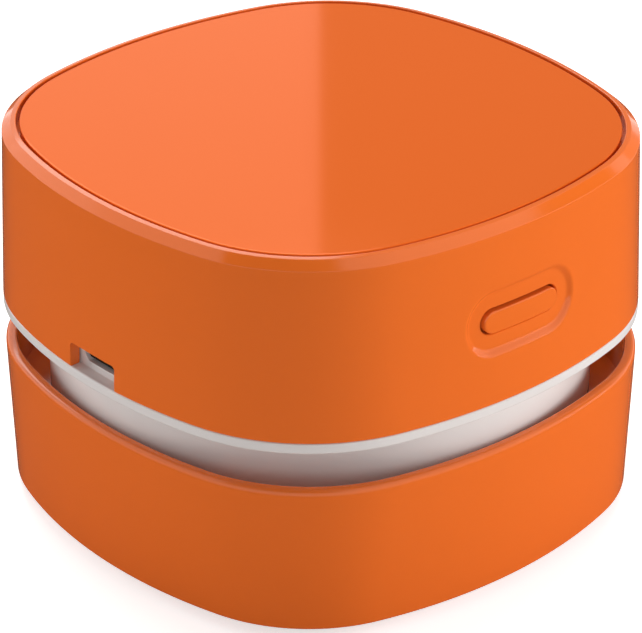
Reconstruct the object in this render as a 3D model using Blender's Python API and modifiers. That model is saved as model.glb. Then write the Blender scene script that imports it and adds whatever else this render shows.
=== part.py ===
"""Desktop mini vacuum cleaner: a rounded square dust bin with a motor unit that lifts off it.

Metres, +Z up. The origin is on the table under the middle of the body.
The power button is on the front (-Y) and the charging port on the left side (-X).
"""
import math

import bmesh
import bpy
from mathutils import Matrix, Vector

# Clearances shared by all pieces
FIT = 0.0003
OVERRUN = 0.0010
WELD = 0.00001

# Overall body
BODY_WIDTH = 0.0840
FOOT_PROUD = 0.0020
BIN_HEIGHT = 0.0224
AIR_GAP = 0.0061
FLANGE_THICKNESS = 0.00115
CASING_HEIGHT = 0.02605

# Plan outline of the upper casing: four bowed sides joined by round corners
CASING_SIDE_BOW = 0.0786
CASING_CORNER = 0.02705
CASING_DRAFT = 0.00095

# Plan outline of the dust bin at its rim and at its base
RIM_STEP = 0.00014
RIM_SIDE_BOW = 0.0786
RIM_CORNER = 0.0264
BASE_STEP = 0.00093
BASE_SIDE_BOW = 0.0754
BASE_CORNER = 0.0235

# Upper casing and top panel
CASING_WALL = 0.0016
CASING_WEB = 0.0015
CASING_FOOT_CHAMFER = 0.00025
TOP_CHAMFER = 0.00125
TOP_RIM_WIDTH = 0.0010
PANEL_THICKNESS = 0.0016
PANEL_SINK = 0.0001
PANEL_CHAMFER = 0.0002

# Dust bin
BIN_WALL = 0.00156
BIN_FLOOR = 0.0026
BIN_RIM_ROUND = 0.0009
BIN_BASE_CHAMFER = 0.0003
SHELF_DEPTH = 0.0079
SHELF_THICKNESS = 0.0014

# Suction nozzle
THROAT_RADIUS = 0.0100
THROAT_WALL = 0.0012
THROAT_GAP = 0.0035
MOUTH_SPREAD = 0.0016
MOUTH_FLARE = 0.0014
NOZZLE_FLANGE_WIDTH = 0.0039
NOZZLE_FLANGE = 0.0009

# Brush strips round the nozzle
BRUSH_COUNT = 4
BRUSH_GAP = 0.0032
BRUSH_WIDTH = 0.0036
BRUSH_BACKING = 0.0012
BRUSH_SINK = 0.0003
BRUSH_SWEEP = math.radians(68)
BRUSH_TIP_CLEARANCE = 0.0002
STRANDS_ALONG = 19
STRANDS_ACROSS = 4
STRAND_TIP_SHARE = 0.55

# Feet
FOOT_RADIUS = 0.0035
FOOT_INSET = 0.01393
FOOT_SOCKET = 0.0008
FOOT_CHAMFER = 0.0004

# Filter and seal
FILTER_SEAL_GAP = 0.0005
FILTER_FLANGE_WIDTH = 0.0029
FILTER_FLANGE = 0.0010
FILTER_WALL = 0.0014
FILTER_DEPTH = 0.0042
FILTER_LEDGE = 0.0037
FILTER_LEDGE_THICKNESS = 0.0010
FILTER_SPOKES = 6
FILTER_SPOKE_WIDTH = 0.0014
FILTER_SPOKE_INSET = 0.0001
FILTER_HUB_RADIUS = 0.0032
PAD_THICKNESS = 0.0020
PAD_CROWN = 0.0005
SEAL_WIDTH = 0.0026
SEAL_THICKNESS = 0.0010
SEAL_LIP_ROUND = 0.0003

# Motor housing: flange, drum below it, collar above it
DRUM_GAP = 0.00084
DRUM_WALL = 0.0016
COLLAR_WALL = 0.0015
COLLAR_GAP = 0.0005
FLANGE_EDGE = 0.0002
MOTOR_PAD_RIM = 0.0003
MOTOR_PAD_DROP = 0.0012
VENT_COUNT = 9
VENT_WIDTH = 0.0022
VENT_HEIGHT = 0.0046
VENT_TOP_MARGIN = 0.0007
VENT_PITCH = math.radians(13)
VENT_CENTRE = math.radians(45)

# Inlet plate under the fan
INLET_PLATE = 0.0020
INLET_SINK = 0.0003
INLET_EYE_RADIUS = 0.0135
INLET_HUB_RADIUS = 0.0030
INLET_RIB = 0.0012
INLET_BANDS = 2
INLET_SECTORS = 6

# Screws: radius of shank, head and their lengths
SCREW_RADIUS = 0.0008
SCREW_HEAD_RADIUS = 0.0018
SCREW_HEAD = 0.0009
SCREW_HEAD_BEVEL = 0.0003
BOSS_WALL = 0.0017
CASING_SCREW_INSET = 0.0110
CASING_SCREW_Y = 0.0130
CASING_SCREW_LENGTH = 0.0100
INLET_SCREW_INSET = 0.0036
INLET_SCREW_LENGTH = 0.0060
MOTOR_SCREW_INSET = 0.0042
MOTOR_SCREW_LENGTH = 0.0042
BOARD_SCREW_LENGTH = 0.0040

# Motor
MOTOR_RADIUS = 0.0122
MOTOR_ROOM = 0.00185
MOTOR_WALL = 0.0008
MOTOR_FACE = 0.0016
MOTOR_EDGE = 0.0008
MOTOR_NOSE_RADIUS = 0.0032
MOTOR_NOSE = 0.0012
SHAFT_RADIUS = 0.0010
SHAFT_TAIL = 0.0010
SHAFT_TIP = 0.0010
SHAFT_CHAMFER = 0.0003
BEARING_RADIUS = 0.0021
BEARING_LENGTH = 0.0022
BEARING_LIP = 0.0004
END_CAP = 0.0014
END_CAP_HUB_RADIUS = 0.0036
MAGNET_THICKNESS = 0.0022
MAGNET_GAP = 0.0011
MAGNET_SWEEP = math.radians(140)
ARMATURE_POLES = 3
ARMATURE_ROOM = 0.0027
ARMATURE_GAP = 0.0005
POLE_SWEEP = math.radians(96)
POLE_TIP = 0.0013
POLE_NECK = 0.0032
ARMATURE_HUB_RADIUS = 0.0034
COMMUTATOR_RADIUS = 0.0026
COMMUTATOR_HEIGHT = 0.0012
COMMUTATOR_GAP = 0.0010

# Fan impeller
FAN_GAP = 0.0062
FAN_DISC = 0.0009
FAN_FLOOR_GAP = 0.0010
FAN_TOP_GAP = 0.0009
FAN_HUB_RADIUS = 0.0042
FAN_HUB_INSET = 0.0014
FAN_BLADES = 9
BLADE_INNER_RADIUS = 0.0075
BLADE_OUTER_INSET = 0.0004
BLADE_THICKNESS = 0.0009
BLADE_SWEEP = math.radians(-52)
BLADE_STEPS = 5
EYE_TOP_RADIUS = 0.0080
EYE_LOW_RADIUS = 0.0130
EYE_DEPTH = 0.0042

# Battery
CELL_RADIUS = 0.0070
CELL_ROOM = 0.0020
CELL_CAP_RADIUS = 0.0028
CELL_CAP = 0.0010
CELL_EDGE = 0.0006
CRADLE_FLOOR = 0.0012
CRADLE_WALL = 0.0011
CRADLE_HEIGHT = 0.0070

# Circuit board, charging port and switch
BOARD_THICKNESS = 0.0012
BOARD_MOTOR_GAP = 0.0033
BOARD_EDGE_GAP = 0.0014
BOARD_START = math.radians(168)
BOARD_END = math.radians(284)
BOARD_POST_RADIUS = 0.0019
BOARD_POST_INSET = 0.0045
BOARD_POST_ANGLES = (math.radians(200), math.radians(248))
CHIP_WIDTH = 0.0050
CHIP_HEIGHT = 0.0013
CHIP_ANGLE = math.radians(226)
PORT_Y = -0.0007
PORT_RISE = 0.00295
PORT_WIDTH = 0.0070
PORT_HEIGHT = 0.0024
PORT_LOW_CORNER = 0.0008
PORT_TOP_CORNER = 0.0003
PORT_WALL = 0.0003
PORT_DEPTH = 0.0065
PORT_BACK = 0.0008
PORT_TONGUE_WIDTH = 0.0042
PORT_TONGUE = 0.0006
NOTCH_SIDE = 0.00135
NOTCH_HEIGHT = 0.00355
NOTCH_CORNER = 0.0006
SWITCH_WIDTH = 0.0085
SWITCH_DEPTH = 0.0080
SWITCH_ROOF = 0.0006
PLUNGER_WIDTH = 0.0026
PLUNGER_PROUD = 0.0018
PLUNGER_LENGTH = 0.0050

# Power button on the front face
BUTTON_RISE = 0.01225
BUTTON_TRAVEL = 0.0008
BUTTON_LENGTH = 0.0141
BUTTON_HEIGHT = 0.0032
BUTTON_PROUD = 0.0006
BUTTON_CROWN = 0.0004
BUTTON_CROWN_DROP = 0.0003
BUTTON_LIP = 0.0012
BUTTON_LIP_THICKNESS = 0.0008
BUTTON_STEM_RADIUS = 0.0016
BUTTON_STEM = 0.0022
RECESS_LENGTH = 0.0202
RECESS_HEIGHT = 0.0100
RECESS_DEPTH = 0.0009
RECESS_BORDER = 0.0008
RECESS_SLOPE_SHARE = 0.5

# Facets
SIDE_STEPS = 8
CORNER_STEPS = 6
ROUND_STEPS = 32
SMALL_STEPS = 12
HOLE_STEPS = 8
STADIUM_STEPS = 4
STADIUM_BAYS = 4
ARC_STEPS = 3
GROOVE_STEPS = 6
DISC_STEPS = 32
FILTER_STEPS = 36
SHARP_ANGLE = math.radians(35)

# Heights worked out from the sizes above
SHELL_BASE = FOOT_PROUD
BIN_RIM = SHELL_BASE + BIN_HEIGHT
FLOOR_TOP = SHELL_BASE + BIN_FLOOR
SHELF_TOP = BIN_RIM - SHELF_DEPTH
SHELF_UNDER = SHELF_TOP - SHELF_THICKNESS
FILTER_SEAT = SHELF_TOP + FIT
FILTER_FOOT = FILTER_SEAT - FILTER_DEPTH
THROAT_TOP = FILTER_FOOT - THROAT_GAP
FLANGE_BASE = BIN_RIM + AIR_GAP
FLANGE_TOP = FLANGE_BASE + FLANGE_THICKNESS
CASING_BASE = FLANGE_TOP + FIT
CASING_TOP = CASING_BASE + CASING_HEIGHT
PANEL_SEAT = CASING_TOP - PANEL_SINK - PANEL_THICKNESS - FIT
WEB_UNDER = PANEL_SEAT - CASING_WEB
SEAL_TOP = SHELF_TOP + FIT + SEAL_THICKNESS
DRUM_FOOT = SEAL_TOP + FIT
INLET_UNDER = DRUM_FOOT + INLET_SINK
INLET_TOP = INLET_UNDER + INLET_PLATE
MOTOR_PAD_UNDER = FLANGE_BASE - MOTOR_PAD_DROP
FAN_TOP = MOTOR_PAD_UNDER - FAN_TOP_GAP
FAN_LOW = INLET_TOP + FAN_FLOOR_GAP
FAN_HUB_LOW = FAN_LOW + FAN_HUB_INSET
MOTOR_BASE = FLANGE_TOP + FIT
SHAFT_HIGH = WEB_UNDER - MOTOR_ROOM
MOTOR_TOP = SHAFT_HIGH - SHAFT_TAIL - END_CAP - FIT
BUTTON_Z = CASING_BASE + BUTTON_RISE
COLLAR_TOP = BUTTON_Z - RECESS_HEIGHT / 2 - CASING_WALL / 2 - COLLAR_GAP
PORT_Z = FLANGE_TOP + PORT_RISE
BOARD_UNDER = PORT_Z + PORT_HEIGHT / 2 + FIT
BOARD_TOP = BOARD_UNDER + BOARD_THICKNESS

# Radii and half widths worked out from the sizes above
CASING_HALF = BODY_WIDTH / 2
RIM_HALF = CASING_HALF - RIM_STEP
BASE_HALF = RIM_HALF - BASE_STEP
COLLAR_INSET = CASING_WALL + FIT
COLLAR_INNER_INSET = COLLAR_INSET + COLLAR_WALL
MOUTH_RADIUS = THROAT_RADIUS + MOUTH_SPREAD
NOZZLE_FLANGE_RADIUS = MOUTH_RADIUS + NOZZLE_FLANGE_WIDTH
BRUSH_RADIUS = NOZZLE_FLANGE_RADIUS + BRUSH_GAP + BRUSH_WIDTH / 2
FOOT_PLACE = BASE_HALF - FOOT_INSET
HALF_AT_DRUM_FOOT = BASE_HALF + BASE_STEP * (DRUM_FOOT - SHELL_BASE) / BIN_HEIGHT
DRUM_RADIUS = HALF_AT_DRUM_FOOT - BIN_WALL - DRUM_GAP
DRUM_INNER = DRUM_RADIUS - DRUM_WALL
FILTER_FLANGE_RADIUS = DRUM_RADIUS - SEAL_WIDTH - FILTER_SEAL_GAP
FILTER_RADIUS = FILTER_FLANGE_RADIUS - FILTER_FLANGE_WIDTH
SHELF_HOLE = FILTER_RADIUS + FIT
SHAFT_HOLE = SHAFT_RADIUS + FIT
SCREW_HOLE = SCREW_RADIUS + FIT
BOSS_RADIUS = SCREW_HOLE + BOSS_WALL
CASING_SCREW_X = CASING_HALF - CASING_SCREW_INSET
CASING_SCREWS = [(side * CASING_SCREW_X, end * CASING_SCREW_Y) for side in (-1, 1) for end in (-1, 1)]
INLET_SCREW_CIRCLE = DRUM_INNER - INLET_SCREW_INSET
FAN_RADIUS = INLET_SCREW_CIRCLE - BOSS_RADIUS - FAN_GAP
MOTOR_PAD_RADIUS = MOTOR_RADIUS + MOTOR_PAD_RIM
MOTOR_SCREW_CIRCLE = MOTOR_RADIUS - MOTOR_SCREW_INSET
BOARD_INNER_RADIUS = MOTOR_RADIUS + BOARD_MOTOR_GAP
BOARD_OUTER_RADIUS = CASING_HALF - COLLAR_INNER_INSET - BOARD_EDGE_GAP
BOARD_POST_CIRCLE = BOARD_INNER_RADIUS + BOARD_POST_INSET
CHIP_CIRCLE = (BOARD_INNER_RADIUS + BOARD_OUTER_RADIUS) / 2
CELL_PLACE_Y = (MOTOR_RADIUS + CASING_HALF - COLLAR_INNER_INSET) / 2
NOTCH_WIDTH = PORT_WIDTH + 2 * NOTCH_SIDE

PARTS = None
TOOLS = None


# Scene, collections and materials
def clear_scene():
    for item in list(bpy.data.objects):
        bpy.data.objects.remove(item, do_unlink=True)


def new_collection(name):
    collection = bpy.data.collections.new(name)
    bpy.context.scene.collection.children.link(collection)
    return collection


def plastic(name, colour, roughness, metallic=0.0):
    """A Principled material with one colour."""
    material = bpy.data.materials.new(name)
    material.use_nodes = True
    shader = material.node_tree.nodes["Principled BSDF"]
    shader.inputs["Base Color"].default_value = (*colour, 1.0)
    shader.inputs["Roughness"].default_value = roughness
    shader.inputs["Metallic"].default_value = metallic
    material.diffuse_color = (*colour, 1.0)
    return material


# Objects from meshes and curves
def smooth(mesh):
    mesh.shade_smooth()
    mesh.set_sharp_from_angle(angle=SHARP_ANGLE)


def place(name, data, material=None):
    """Link an object: a part where a material is given, and a cutting tool where none is."""
    item = bpy.data.objects.new(name, data)
    if material:
        data.materials.append(material)
        PARTS.objects.link(item)
    else:
        item.hide_render = True
        item.display_type = "WIRE"
        TOOLS.objects.link(item)
    return item


def from_bmesh(name, bm, material=None):
    bmesh.ops.recalc_face_normals(bm, faces=bm.faces)
    mesh = bpy.data.meshes.new(name)
    bm.to_mesh(mesh)
    bm.free()
    smooth(mesh)
    return place(name, mesh, material)


def loft(name, rings, material=None):
    """Skin a row of rings that have as many points each, and close both ends."""
    bm = bmesh.new()
    loops = [[bm.verts.new(point) for point in ring] for ring in rings]
    for lower, upper in zip(loops, loops[1:]):
        for here in range(len(lower)):
            after = (here + 1) % len(lower)
            bm.faces.new((lower[here], lower[after], upper[after], upper[here]))
    bm.faces.new(loops[0])
    bm.faces.new(loops[-1])
    return from_bmesh(name, bm, material)


def turned(name, profile, steps, material=None):
    """Turn a profile of radius and height about Z; it runs down its outer side."""
    bm = bmesh.new()
    points = [bm.verts.new((radius, 0, height)) for radius, height in profile]
    for start, end in zip(points, points[1:]):
        bm.edges.new((start, end))
    if profile[0][0] > 0:
        bm.edges.new((points[-1], points[0]))
    mesh = bpy.data.meshes.new(name)
    bm.to_mesh(mesh)
    bm.free()
    item = place(name, mesh, material)
    screw = item.modifiers.new("turn", "SCREW")
    screw.steps = steps
    screw.render_steps = steps
    screw.use_merge_vertices = True
    screw.merge_threshold = WELD
    screw.use_smooth_shade = True
    return item


def prism(name, outlines, low, high, material=None):
    """A flat outline, or several, given a thickness from low to high."""
    curve = bpy.data.curves.new(name, "CURVE")
    curve.dimensions = "2D"
    curve.fill_mode = "BOTH"
    curve.extrude = (high - low) / 2
    for outline in outlines:
        spline = curve.splines.new("POLY")
        spline.points.add(len(outline) - 1)
        for point, (x, y) in zip(spline.points, outline):
            point.co = (x, y, 0, 1)
        spline.use_cyclic_u = True
    rough = bpy.data.objects.new(name, curve)
    rough.location.z = (low + high) / 2
    TOOLS.objects.link(rough)
    bpy.context.view_layer.update()
    solid = rough.evaluated_get(bpy.context.evaluated_depsgraph_get())
    mesh = bpy.data.meshes.new_from_object(solid)
    matrix = rough.matrix_world.copy()
    bpy.data.objects.remove(rough, do_unlink=True)
    bm = bmesh.new()
    bm.from_mesh(mesh)
    bmesh.ops.remove_doubles(bm, verts=bm.verts, dist=WELD)
    bm.to_mesh(mesh)
    bm.free()
    smooth(mesh)
    mesh.materials.clear()
    item = place(name, mesh, material)
    item.name = name
    item.matrix_world = matrix
    return item


def rods(name, places, radius, low, high, material=None, steps=HOLE_STEPS):
    """Upright cylinders of one size at a list of places."""
    bm = bmesh.new()
    for x, y in places:
        middle = Matrix.Translation((x, y, (low + high) / 2))
        bmesh.ops.create_cone(bm, cap_ends=True, segments=steps, radius1=radius, radius2=radius,
                              depth=high - low, matrix=middle)
    return from_bmesh(name, bm, material)


def blocks(name, boxes, material=None):
    """Boxes given by their lowest and highest corners."""
    bm = bmesh.new()
    for low, high in boxes:
        low, high = Vector(low), Vector(high)
        shape = Matrix.Translation((low + high) / 2) @ Matrix.Diagonal((*(high - low), 1))
        bmesh.ops.create_cube(bm, size=1, matrix=shape)
    return from_bmesh(name, bm, material)


def combine(target, tool, operation):
    step = target.modifiers.new(tool.name, "BOOLEAN")
    step.operation = operation
    step.solver = "EXACT"
    step.object = tool


def cut(target, *tools):
    for tool in tools:
        combine(target, tool, "DIFFERENCE")


def join(target, *tools):
    for tool in tools:
        combine(target, tool, "UNION")


def face_along_x(item):
    """Stand a prism so that its outline lies in Y and Z and its thickness along X."""
    item.matrix_world = Matrix(((0, 0, 1), (1, 0, 0), (0, 1, 0))).to_4x4() @ item.matrix_world


def face_along_y(item):
    """Lay an upright rod along Y."""
    item.matrix_world = Matrix.Rotation(math.radians(-90), 4, "X") @ item.matrix_world


# Outlines
def polar(radius, angle):
    return radius * math.cos(angle), radius * math.sin(angle)


def outline_arcs(half, bow, corner):
    """Centre of a side's arc, centre of a corner's arc, and the angle at which they meet."""
    side = half - bow
    middle = (side + math.sqrt(2 * (bow - corner) ** 2 - side ** 2)) / 2
    return side, middle, math.atan2(middle, middle - side)


def squircle(half, bow, corner, inset, height):
    """Ring of a rounded square: sides of radius bow, corners of radius corner, moved in by inset."""
    side, middle, turn = outline_arcs(half, bow, corner)
    ring = []
    for quarter in range(4):
        facing = Matrix.Rotation(quarter * math.pi / 2, 3, "Z")
        for step in range(SIDE_STEPS):
            angle = turn * (2 * step / SIDE_STEPS - 1)
            x, y = polar(bow - inset, angle)
            ring.append(facing @ Vector((side + x, y, height)))
        for step in range(CORNER_STEPS):
            angle = turn + (math.pi / 2 - 2 * turn) * step / CORNER_STEPS
            x, y = polar(corner - inset, angle)
            ring.append(facing @ Vector((middle + x, middle + y, height)))
    return ring


def casing_ring(inset, height):
    return squircle(CASING_HALF, CASING_SIDE_BOW, CASING_CORNER, inset, height)


def drafted_ring(inset, height):
    """Ring on the casing's leaning side at a height, moved in by inset."""
    return casing_ring(inset + draft_at(height), height)


def draft_at(height):
    return CASING_DRAFT * (height - CASING_BASE) / CASING_HEIGHT


def collar_reach(y):
    """Half width inside the collar at a distance behind the middle."""
    side, middle, turn = outline_arcs(CASING_HALF, CASING_SIDE_BOW, CASING_CORNER)
    bow = CASING_SIDE_BOW - COLLAR_INNER_INSET
    if y < bow * math.sin(turn):
        return side + math.sqrt(bow ** 2 - y ** 2)
    return middle + math.sqrt((CASING_CORNER - COLLAR_INNER_INSET) ** 2 - (y - middle) ** 2)


def bin_ring(inset, height):
    """Ring on the bin's tapered side, between its base outline and its rim outline."""
    share = (height - SHELL_BASE) / BIN_HEIGHT
    half = BASE_HALF + (RIM_HALF - BASE_HALF) * share
    bow = BASE_SIDE_BOW + (RIM_SIDE_BOW - BASE_SIDE_BOW) * share
    corner = BASE_CORNER + (RIM_CORNER - BASE_CORNER) * share
    return squircle(half, bow, corner, inset, height)


def round_ring(radius, height):
    """Round ring whose points face the same ways as the casing's."""
    ring = []
    for point in casing_ring(0, height):
        x, y = polar(radius, math.atan2(point.y, point.x))
        ring.append(Vector((x, y, height)))
    return ring


def band(inner, outer, start, end, steps):
    """Outline of a piece of a flat ring, between two radii and two angles."""
    angles = [start + (end - start) * step / steps for step in range(steps + 1)]
    return [polar(outer, angle) for angle in angles] + [polar(inner, angle) for angle in reversed(angles)]


def circle(radius):
    """Outline of a round plate."""
    return [polar(radius, 2 * math.pi * step / DISC_STEPS) for step in range(DISC_STEPS)]


# Shapes that follow the casing's bowed front face
def stadium_spans(length, height):
    """Places along a pill outline with the half height there, from left to right."""
    radius = height / 2
    straight = length / 2 - radius
    spans = []
    for step in range(STADIUM_STEPS):
        angle = math.pi / 2 * step / STADIUM_STEPS
        spans.append((-straight - radius * math.cos(angle), radius * math.sin(angle)))
    for bay in range(STADIUM_BAYS + 1):
        spans.append((straight * (2 * bay / STADIUM_BAYS - 1), radius))
    for step in reversed(range(STADIUM_STEPS)):
        angle = math.pi / 2 * step / STADIUM_STEPS
        spans.append((straight + radius * math.cos(angle), radius * math.sin(angle)))
    return spans


def front_point(x, height, depth):
    """Point on the casing's front face, or at a depth behind it."""
    radius = CASING_SIDE_BOW - draft_at(height) - depth
    return Vector((x, CASING_SIDE_BOW - CASING_HALF - math.sqrt(radius ** 2 - x ** 2), height))


def front_pad(name, length, height, levels, material=None):
    """Pill standing on the front face; each level has how far it grows and its depth."""
    bm = bmesh.new()
    rows = []
    for grow, depth in levels:
        spans = stadium_spans(length + 2 * grow, height + 2 * grow)
        low = [bm.verts.new(front_point(x, BUTTON_Z - rise, depth)) for x, rise in spans]
        high = [bm.verts.new(front_point(x, BUTTON_Z + rise, depth)) for x, rise in spans[1:-1]]
        rows.append((low, [low[0], *high, low[-1]]))
    for outer, inner in zip(rows, rows[1:]):
        for edge in (0, 1):
            for here in range(len(outer[edge]) - 1):
                after = here + 1
                bm.faces.new((outer[edge][here], outer[edge][after], inner[edge][after], inner[edge][here]))
    for low, high in (rows[0], rows[-1]):
        for here in range(len(low) - 1):
            corners = dict.fromkeys((low[here], low[here + 1], high[here + 1], high[here]))
            bm.faces.new(list(corners))
    return from_bmesh(name, bm, material)


# Dust bin
def make_bin_shell(colour):
    """Open cup with a shelf for the filter and a flat floor."""
    round_low = BIN_RIM_ROUND * math.cos(math.pi / 4)
    rings = [
        bin_ring(BIN_BASE_CHAMFER, SHELL_BASE),
        bin_ring(0, SHELL_BASE + BIN_BASE_CHAMFER),
        bin_ring(0, BIN_RIM - BIN_RIM_ROUND),
        bin_ring(BIN_RIM_ROUND - round_low, BIN_RIM - BIN_RIM_ROUND + round_low),
        bin_ring(BIN_RIM_ROUND, BIN_RIM),
        bin_ring(BIN_WALL, BIN_RIM),
        bin_ring(BIN_WALL, SHELF_TOP),
        round_ring(SHELF_HOLE, SHELF_TOP),
        round_ring(SHELF_HOLE, SHELF_UNDER),
        bin_ring(BIN_WALL, SHELF_UNDER),
        bin_ring(BIN_WALL, FLOOR_TOP),
    ]
    shell = loft("bin_shell", rings, colour)
    below = SHELL_BASE - OVERRUN
    throat_hole = rods("throat_hole", [(0, 0)], THROAT_RADIUS + THROAT_WALL + FIT, below,
                       FLOOR_TOP + OVERRUN, steps=ROUND_STEPS)
    flange_seat = rods("nozzle_seat", [(0, 0)], NOZZLE_FLANGE_RADIUS + FIT, below,
                       SHELL_BASE + NOZZLE_FLANGE + FIT, steps=ROUND_STEPS)
    half_sweep = BRUSH_SWEEP / 2 + FIT / BRUSH_RADIUS
    inner = BRUSH_RADIUS - BRUSH_WIDTH / 2 - FIT
    outer = BRUSH_RADIUS + BRUSH_WIDTH / 2 + FIT
    grooves = [band(inner, outer, angle - half_sweep, angle + half_sweep, GROOVE_STEPS)
               for angle in brush_angles()]
    groove_top = SHELL_BASE + BRUSH_SINK + BRUSH_BACKING + FIT
    brush_grooves = prism("brush_grooves", grooves, below, groove_top)
    foot_sockets = rods("foot_sockets", foot_places(), FOOT_RADIUS + FIT, below,
                        SHELL_BASE + FOOT_SOCKET + FIT, steps=SMALL_STEPS)
    cut(shell, throat_hole, flange_seat, brush_grooves, foot_sockets)


def make_suction_nozzle(colour):
    """Flared mouth with a flange under the floor and a throat that holds the dust in."""
    outer = THROAT_RADIUS + THROAT_WALL
    profile = [
        (THROAT_RADIUS, THROAT_TOP - THROAT_WALL / 2),
        (THROAT_RADIUS + THROAT_WALL / 2, THROAT_TOP),
        (outer, THROAT_TOP - THROAT_WALL / 2),
        (outer, SHELL_BASE + NOZZLE_FLANGE),
        (NOZZLE_FLANGE_RADIUS, SHELL_BASE + NOZZLE_FLANGE),
        (NOZZLE_FLANGE_RADIUS, SHELL_BASE),
        (MOUTH_RADIUS, SHELL_BASE),
        (THROAT_RADIUS, SHELL_BASE + MOUTH_FLARE),
    ]
    turned("suction_nozzle", profile, ROUND_STEPS, colour)


def brush_angles():
    return [2 * math.pi * (index + 1 / 2) / BRUSH_COUNT for index in range(BRUSH_COUNT)]


def make_brush_strip(name, angle, colour):
    """Curved backing whose underside carries rows of tapered bristles."""
    columns = 2 * STRANDS_ALONG - 1
    rows = 2 * STRANDS_ACROSS - 1
    bm = bmesh.new()
    bmesh.ops.create_grid(bm, x_segments=columns, y_segments=rows, size=1)
    underside = SHELL_BASE + BRUSH_SINK
    cells = []
    for face in bm.faces:
        middle = face.calc_center_median()
        column = round((middle.x + 1) * columns / 2 - 1 / 2)
        row = round((middle.y + 1) * rows / 2 - 1 / 2)
        if column % 2 == 0 and row % 2 == 0:
            cells.append(face)
    for vert in bm.verts:
        along, across = vert.co.x, vert.co.y
        x, y = polar(BRUSH_RADIUS + across * BRUSH_WIDTH / 2, angle + along * BRUSH_SWEEP / 2)
        vert.co = (x, y, underside)
    border = [edge for edge in bm.edges if edge.is_boundary]
    raised = bmesh.ops.extrude_edge_only(bm, edges=border)["geom"]
    top_points = [item for item in raised if isinstance(item, bmesh.types.BMVert)]
    top_edges = [item for item in raised if isinstance(item, bmesh.types.BMEdge)]
    bmesh.ops.translate(bm, verts=top_points, vec=(0, 0, BRUSH_BACKING))
    bmesh.ops.contextual_create(bm, geom=top_edges)
    strands = bmesh.ops.extrude_discrete_faces(bm, faces=cells)["faces"]
    tip = Vector((0, 0, BRUSH_TIP_CLEARANCE - underside))
    for face in strands:
        middle = face.calc_center_median()
        for vert in face.verts:
            vert.co = middle + (vert.co - middle) * STRAND_TIP_SHARE + tip
    return from_bmesh(name, bm, colour)


def foot_places():
    return [(side * FOOT_PLACE, end * FOOT_PLACE) for side in (-1, 1) for end in (-1, 1)]


def make_feet(colour):
    """Four glide pads set in sockets in the floor."""
    profile = [
        (0, SHELL_BASE + FOOT_SOCKET),
        (FOOT_RADIUS, SHELL_BASE + FOOT_SOCKET),
        (FOOT_RADIUS, FOOT_CHAMFER),
        (FOOT_RADIUS - FOOT_CHAMFER, 0),
        (0, 0),
    ]
    for number, (x, y) in enumerate(foot_places(), start=1):
        foot = turned(f"foot_{number}", profile, SMALL_STEPS, colour)
        foot.location = (x, y, 0)


def make_filter(frame_colour, pad_colour):
    """Basket that hangs from the shelf, with the filter pad on its spokes."""
    flange_top = FILTER_SEAT + FILTER_FLANGE
    ledge_top = FILTER_FOOT + FILTER_LEDGE_THICKNESS
    inner = FILTER_RADIUS - FILTER_WALL
    profile = [
        (inner, flange_top),
        (FILTER_FLANGE_RADIUS, flange_top),
        (FILTER_FLANGE_RADIUS, FILTER_SEAT),
        (FILTER_RADIUS, FILTER_SEAT),
        (FILTER_RADIUS, FILTER_FOOT),
        (FILTER_RADIUS - FILTER_LEDGE, FILTER_FOOT),
        (FILTER_RADIUS - FILTER_LEDGE, ledge_top),
        (inner, ledge_top),
    ]
    frame = turned("filter_frame", profile, FILTER_STEPS, frame_colour)
    hub = rods("filter_hub", [(0, 0)], FILTER_HUB_RADIUS, FILTER_FOOT, ledge_top, steps=SMALL_STEPS)
    join(frame, hub)
    reach = FILTER_RADIUS - FILTER_LEDGE / 2
    width = FILTER_SPOKE_WIDTH / 2
    low = (-reach, -width, FILTER_FOOT + FILTER_SPOKE_INSET)
    high = (reach, width, ledge_top - FILTER_SPOKE_INSET)
    for index in range(FILTER_SPOKES // 2):
        spoke = blocks(f"filter_spoke_{index}", [(low, high)])
        spoke.rotation_euler.z = math.pi * index / (FILTER_SPOKES // 2)
        join(frame, spoke)
    pad_radius = inner - FIT
    pad_low = ledge_top + FIT
    pad = [
        (0, pad_low + PAD_THICKNESS),
        (pad_radius - PAD_CROWN, pad_low + PAD_THICKNESS),
        (pad_radius, pad_low + PAD_THICKNESS - PAD_CROWN),
        (pad_radius, pad_low),
        (0, pad_low),
    ]
    turned("filter_pad", pad, ROUND_STEPS, pad_colour)


def make_seal(colour):
    """Soft ring on the shelf under the drum's edge."""
    outer = DRUM_RADIUS
    inner = outer - SEAL_WIDTH
    low = SHELF_TOP + FIT
    profile = [
        (inner + SEAL_LIP_ROUND, SEAL_TOP),
        (outer - SEAL_LIP_ROUND, SEAL_TOP),
        (outer, SEAL_TOP - SEAL_LIP_ROUND),
        (outer, low),
        (inner, low),
        (inner, SEAL_TOP - SEAL_LIP_ROUND),
    ]
    turned("seal_ring", profile, ROUND_STEPS, colour)


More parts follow.
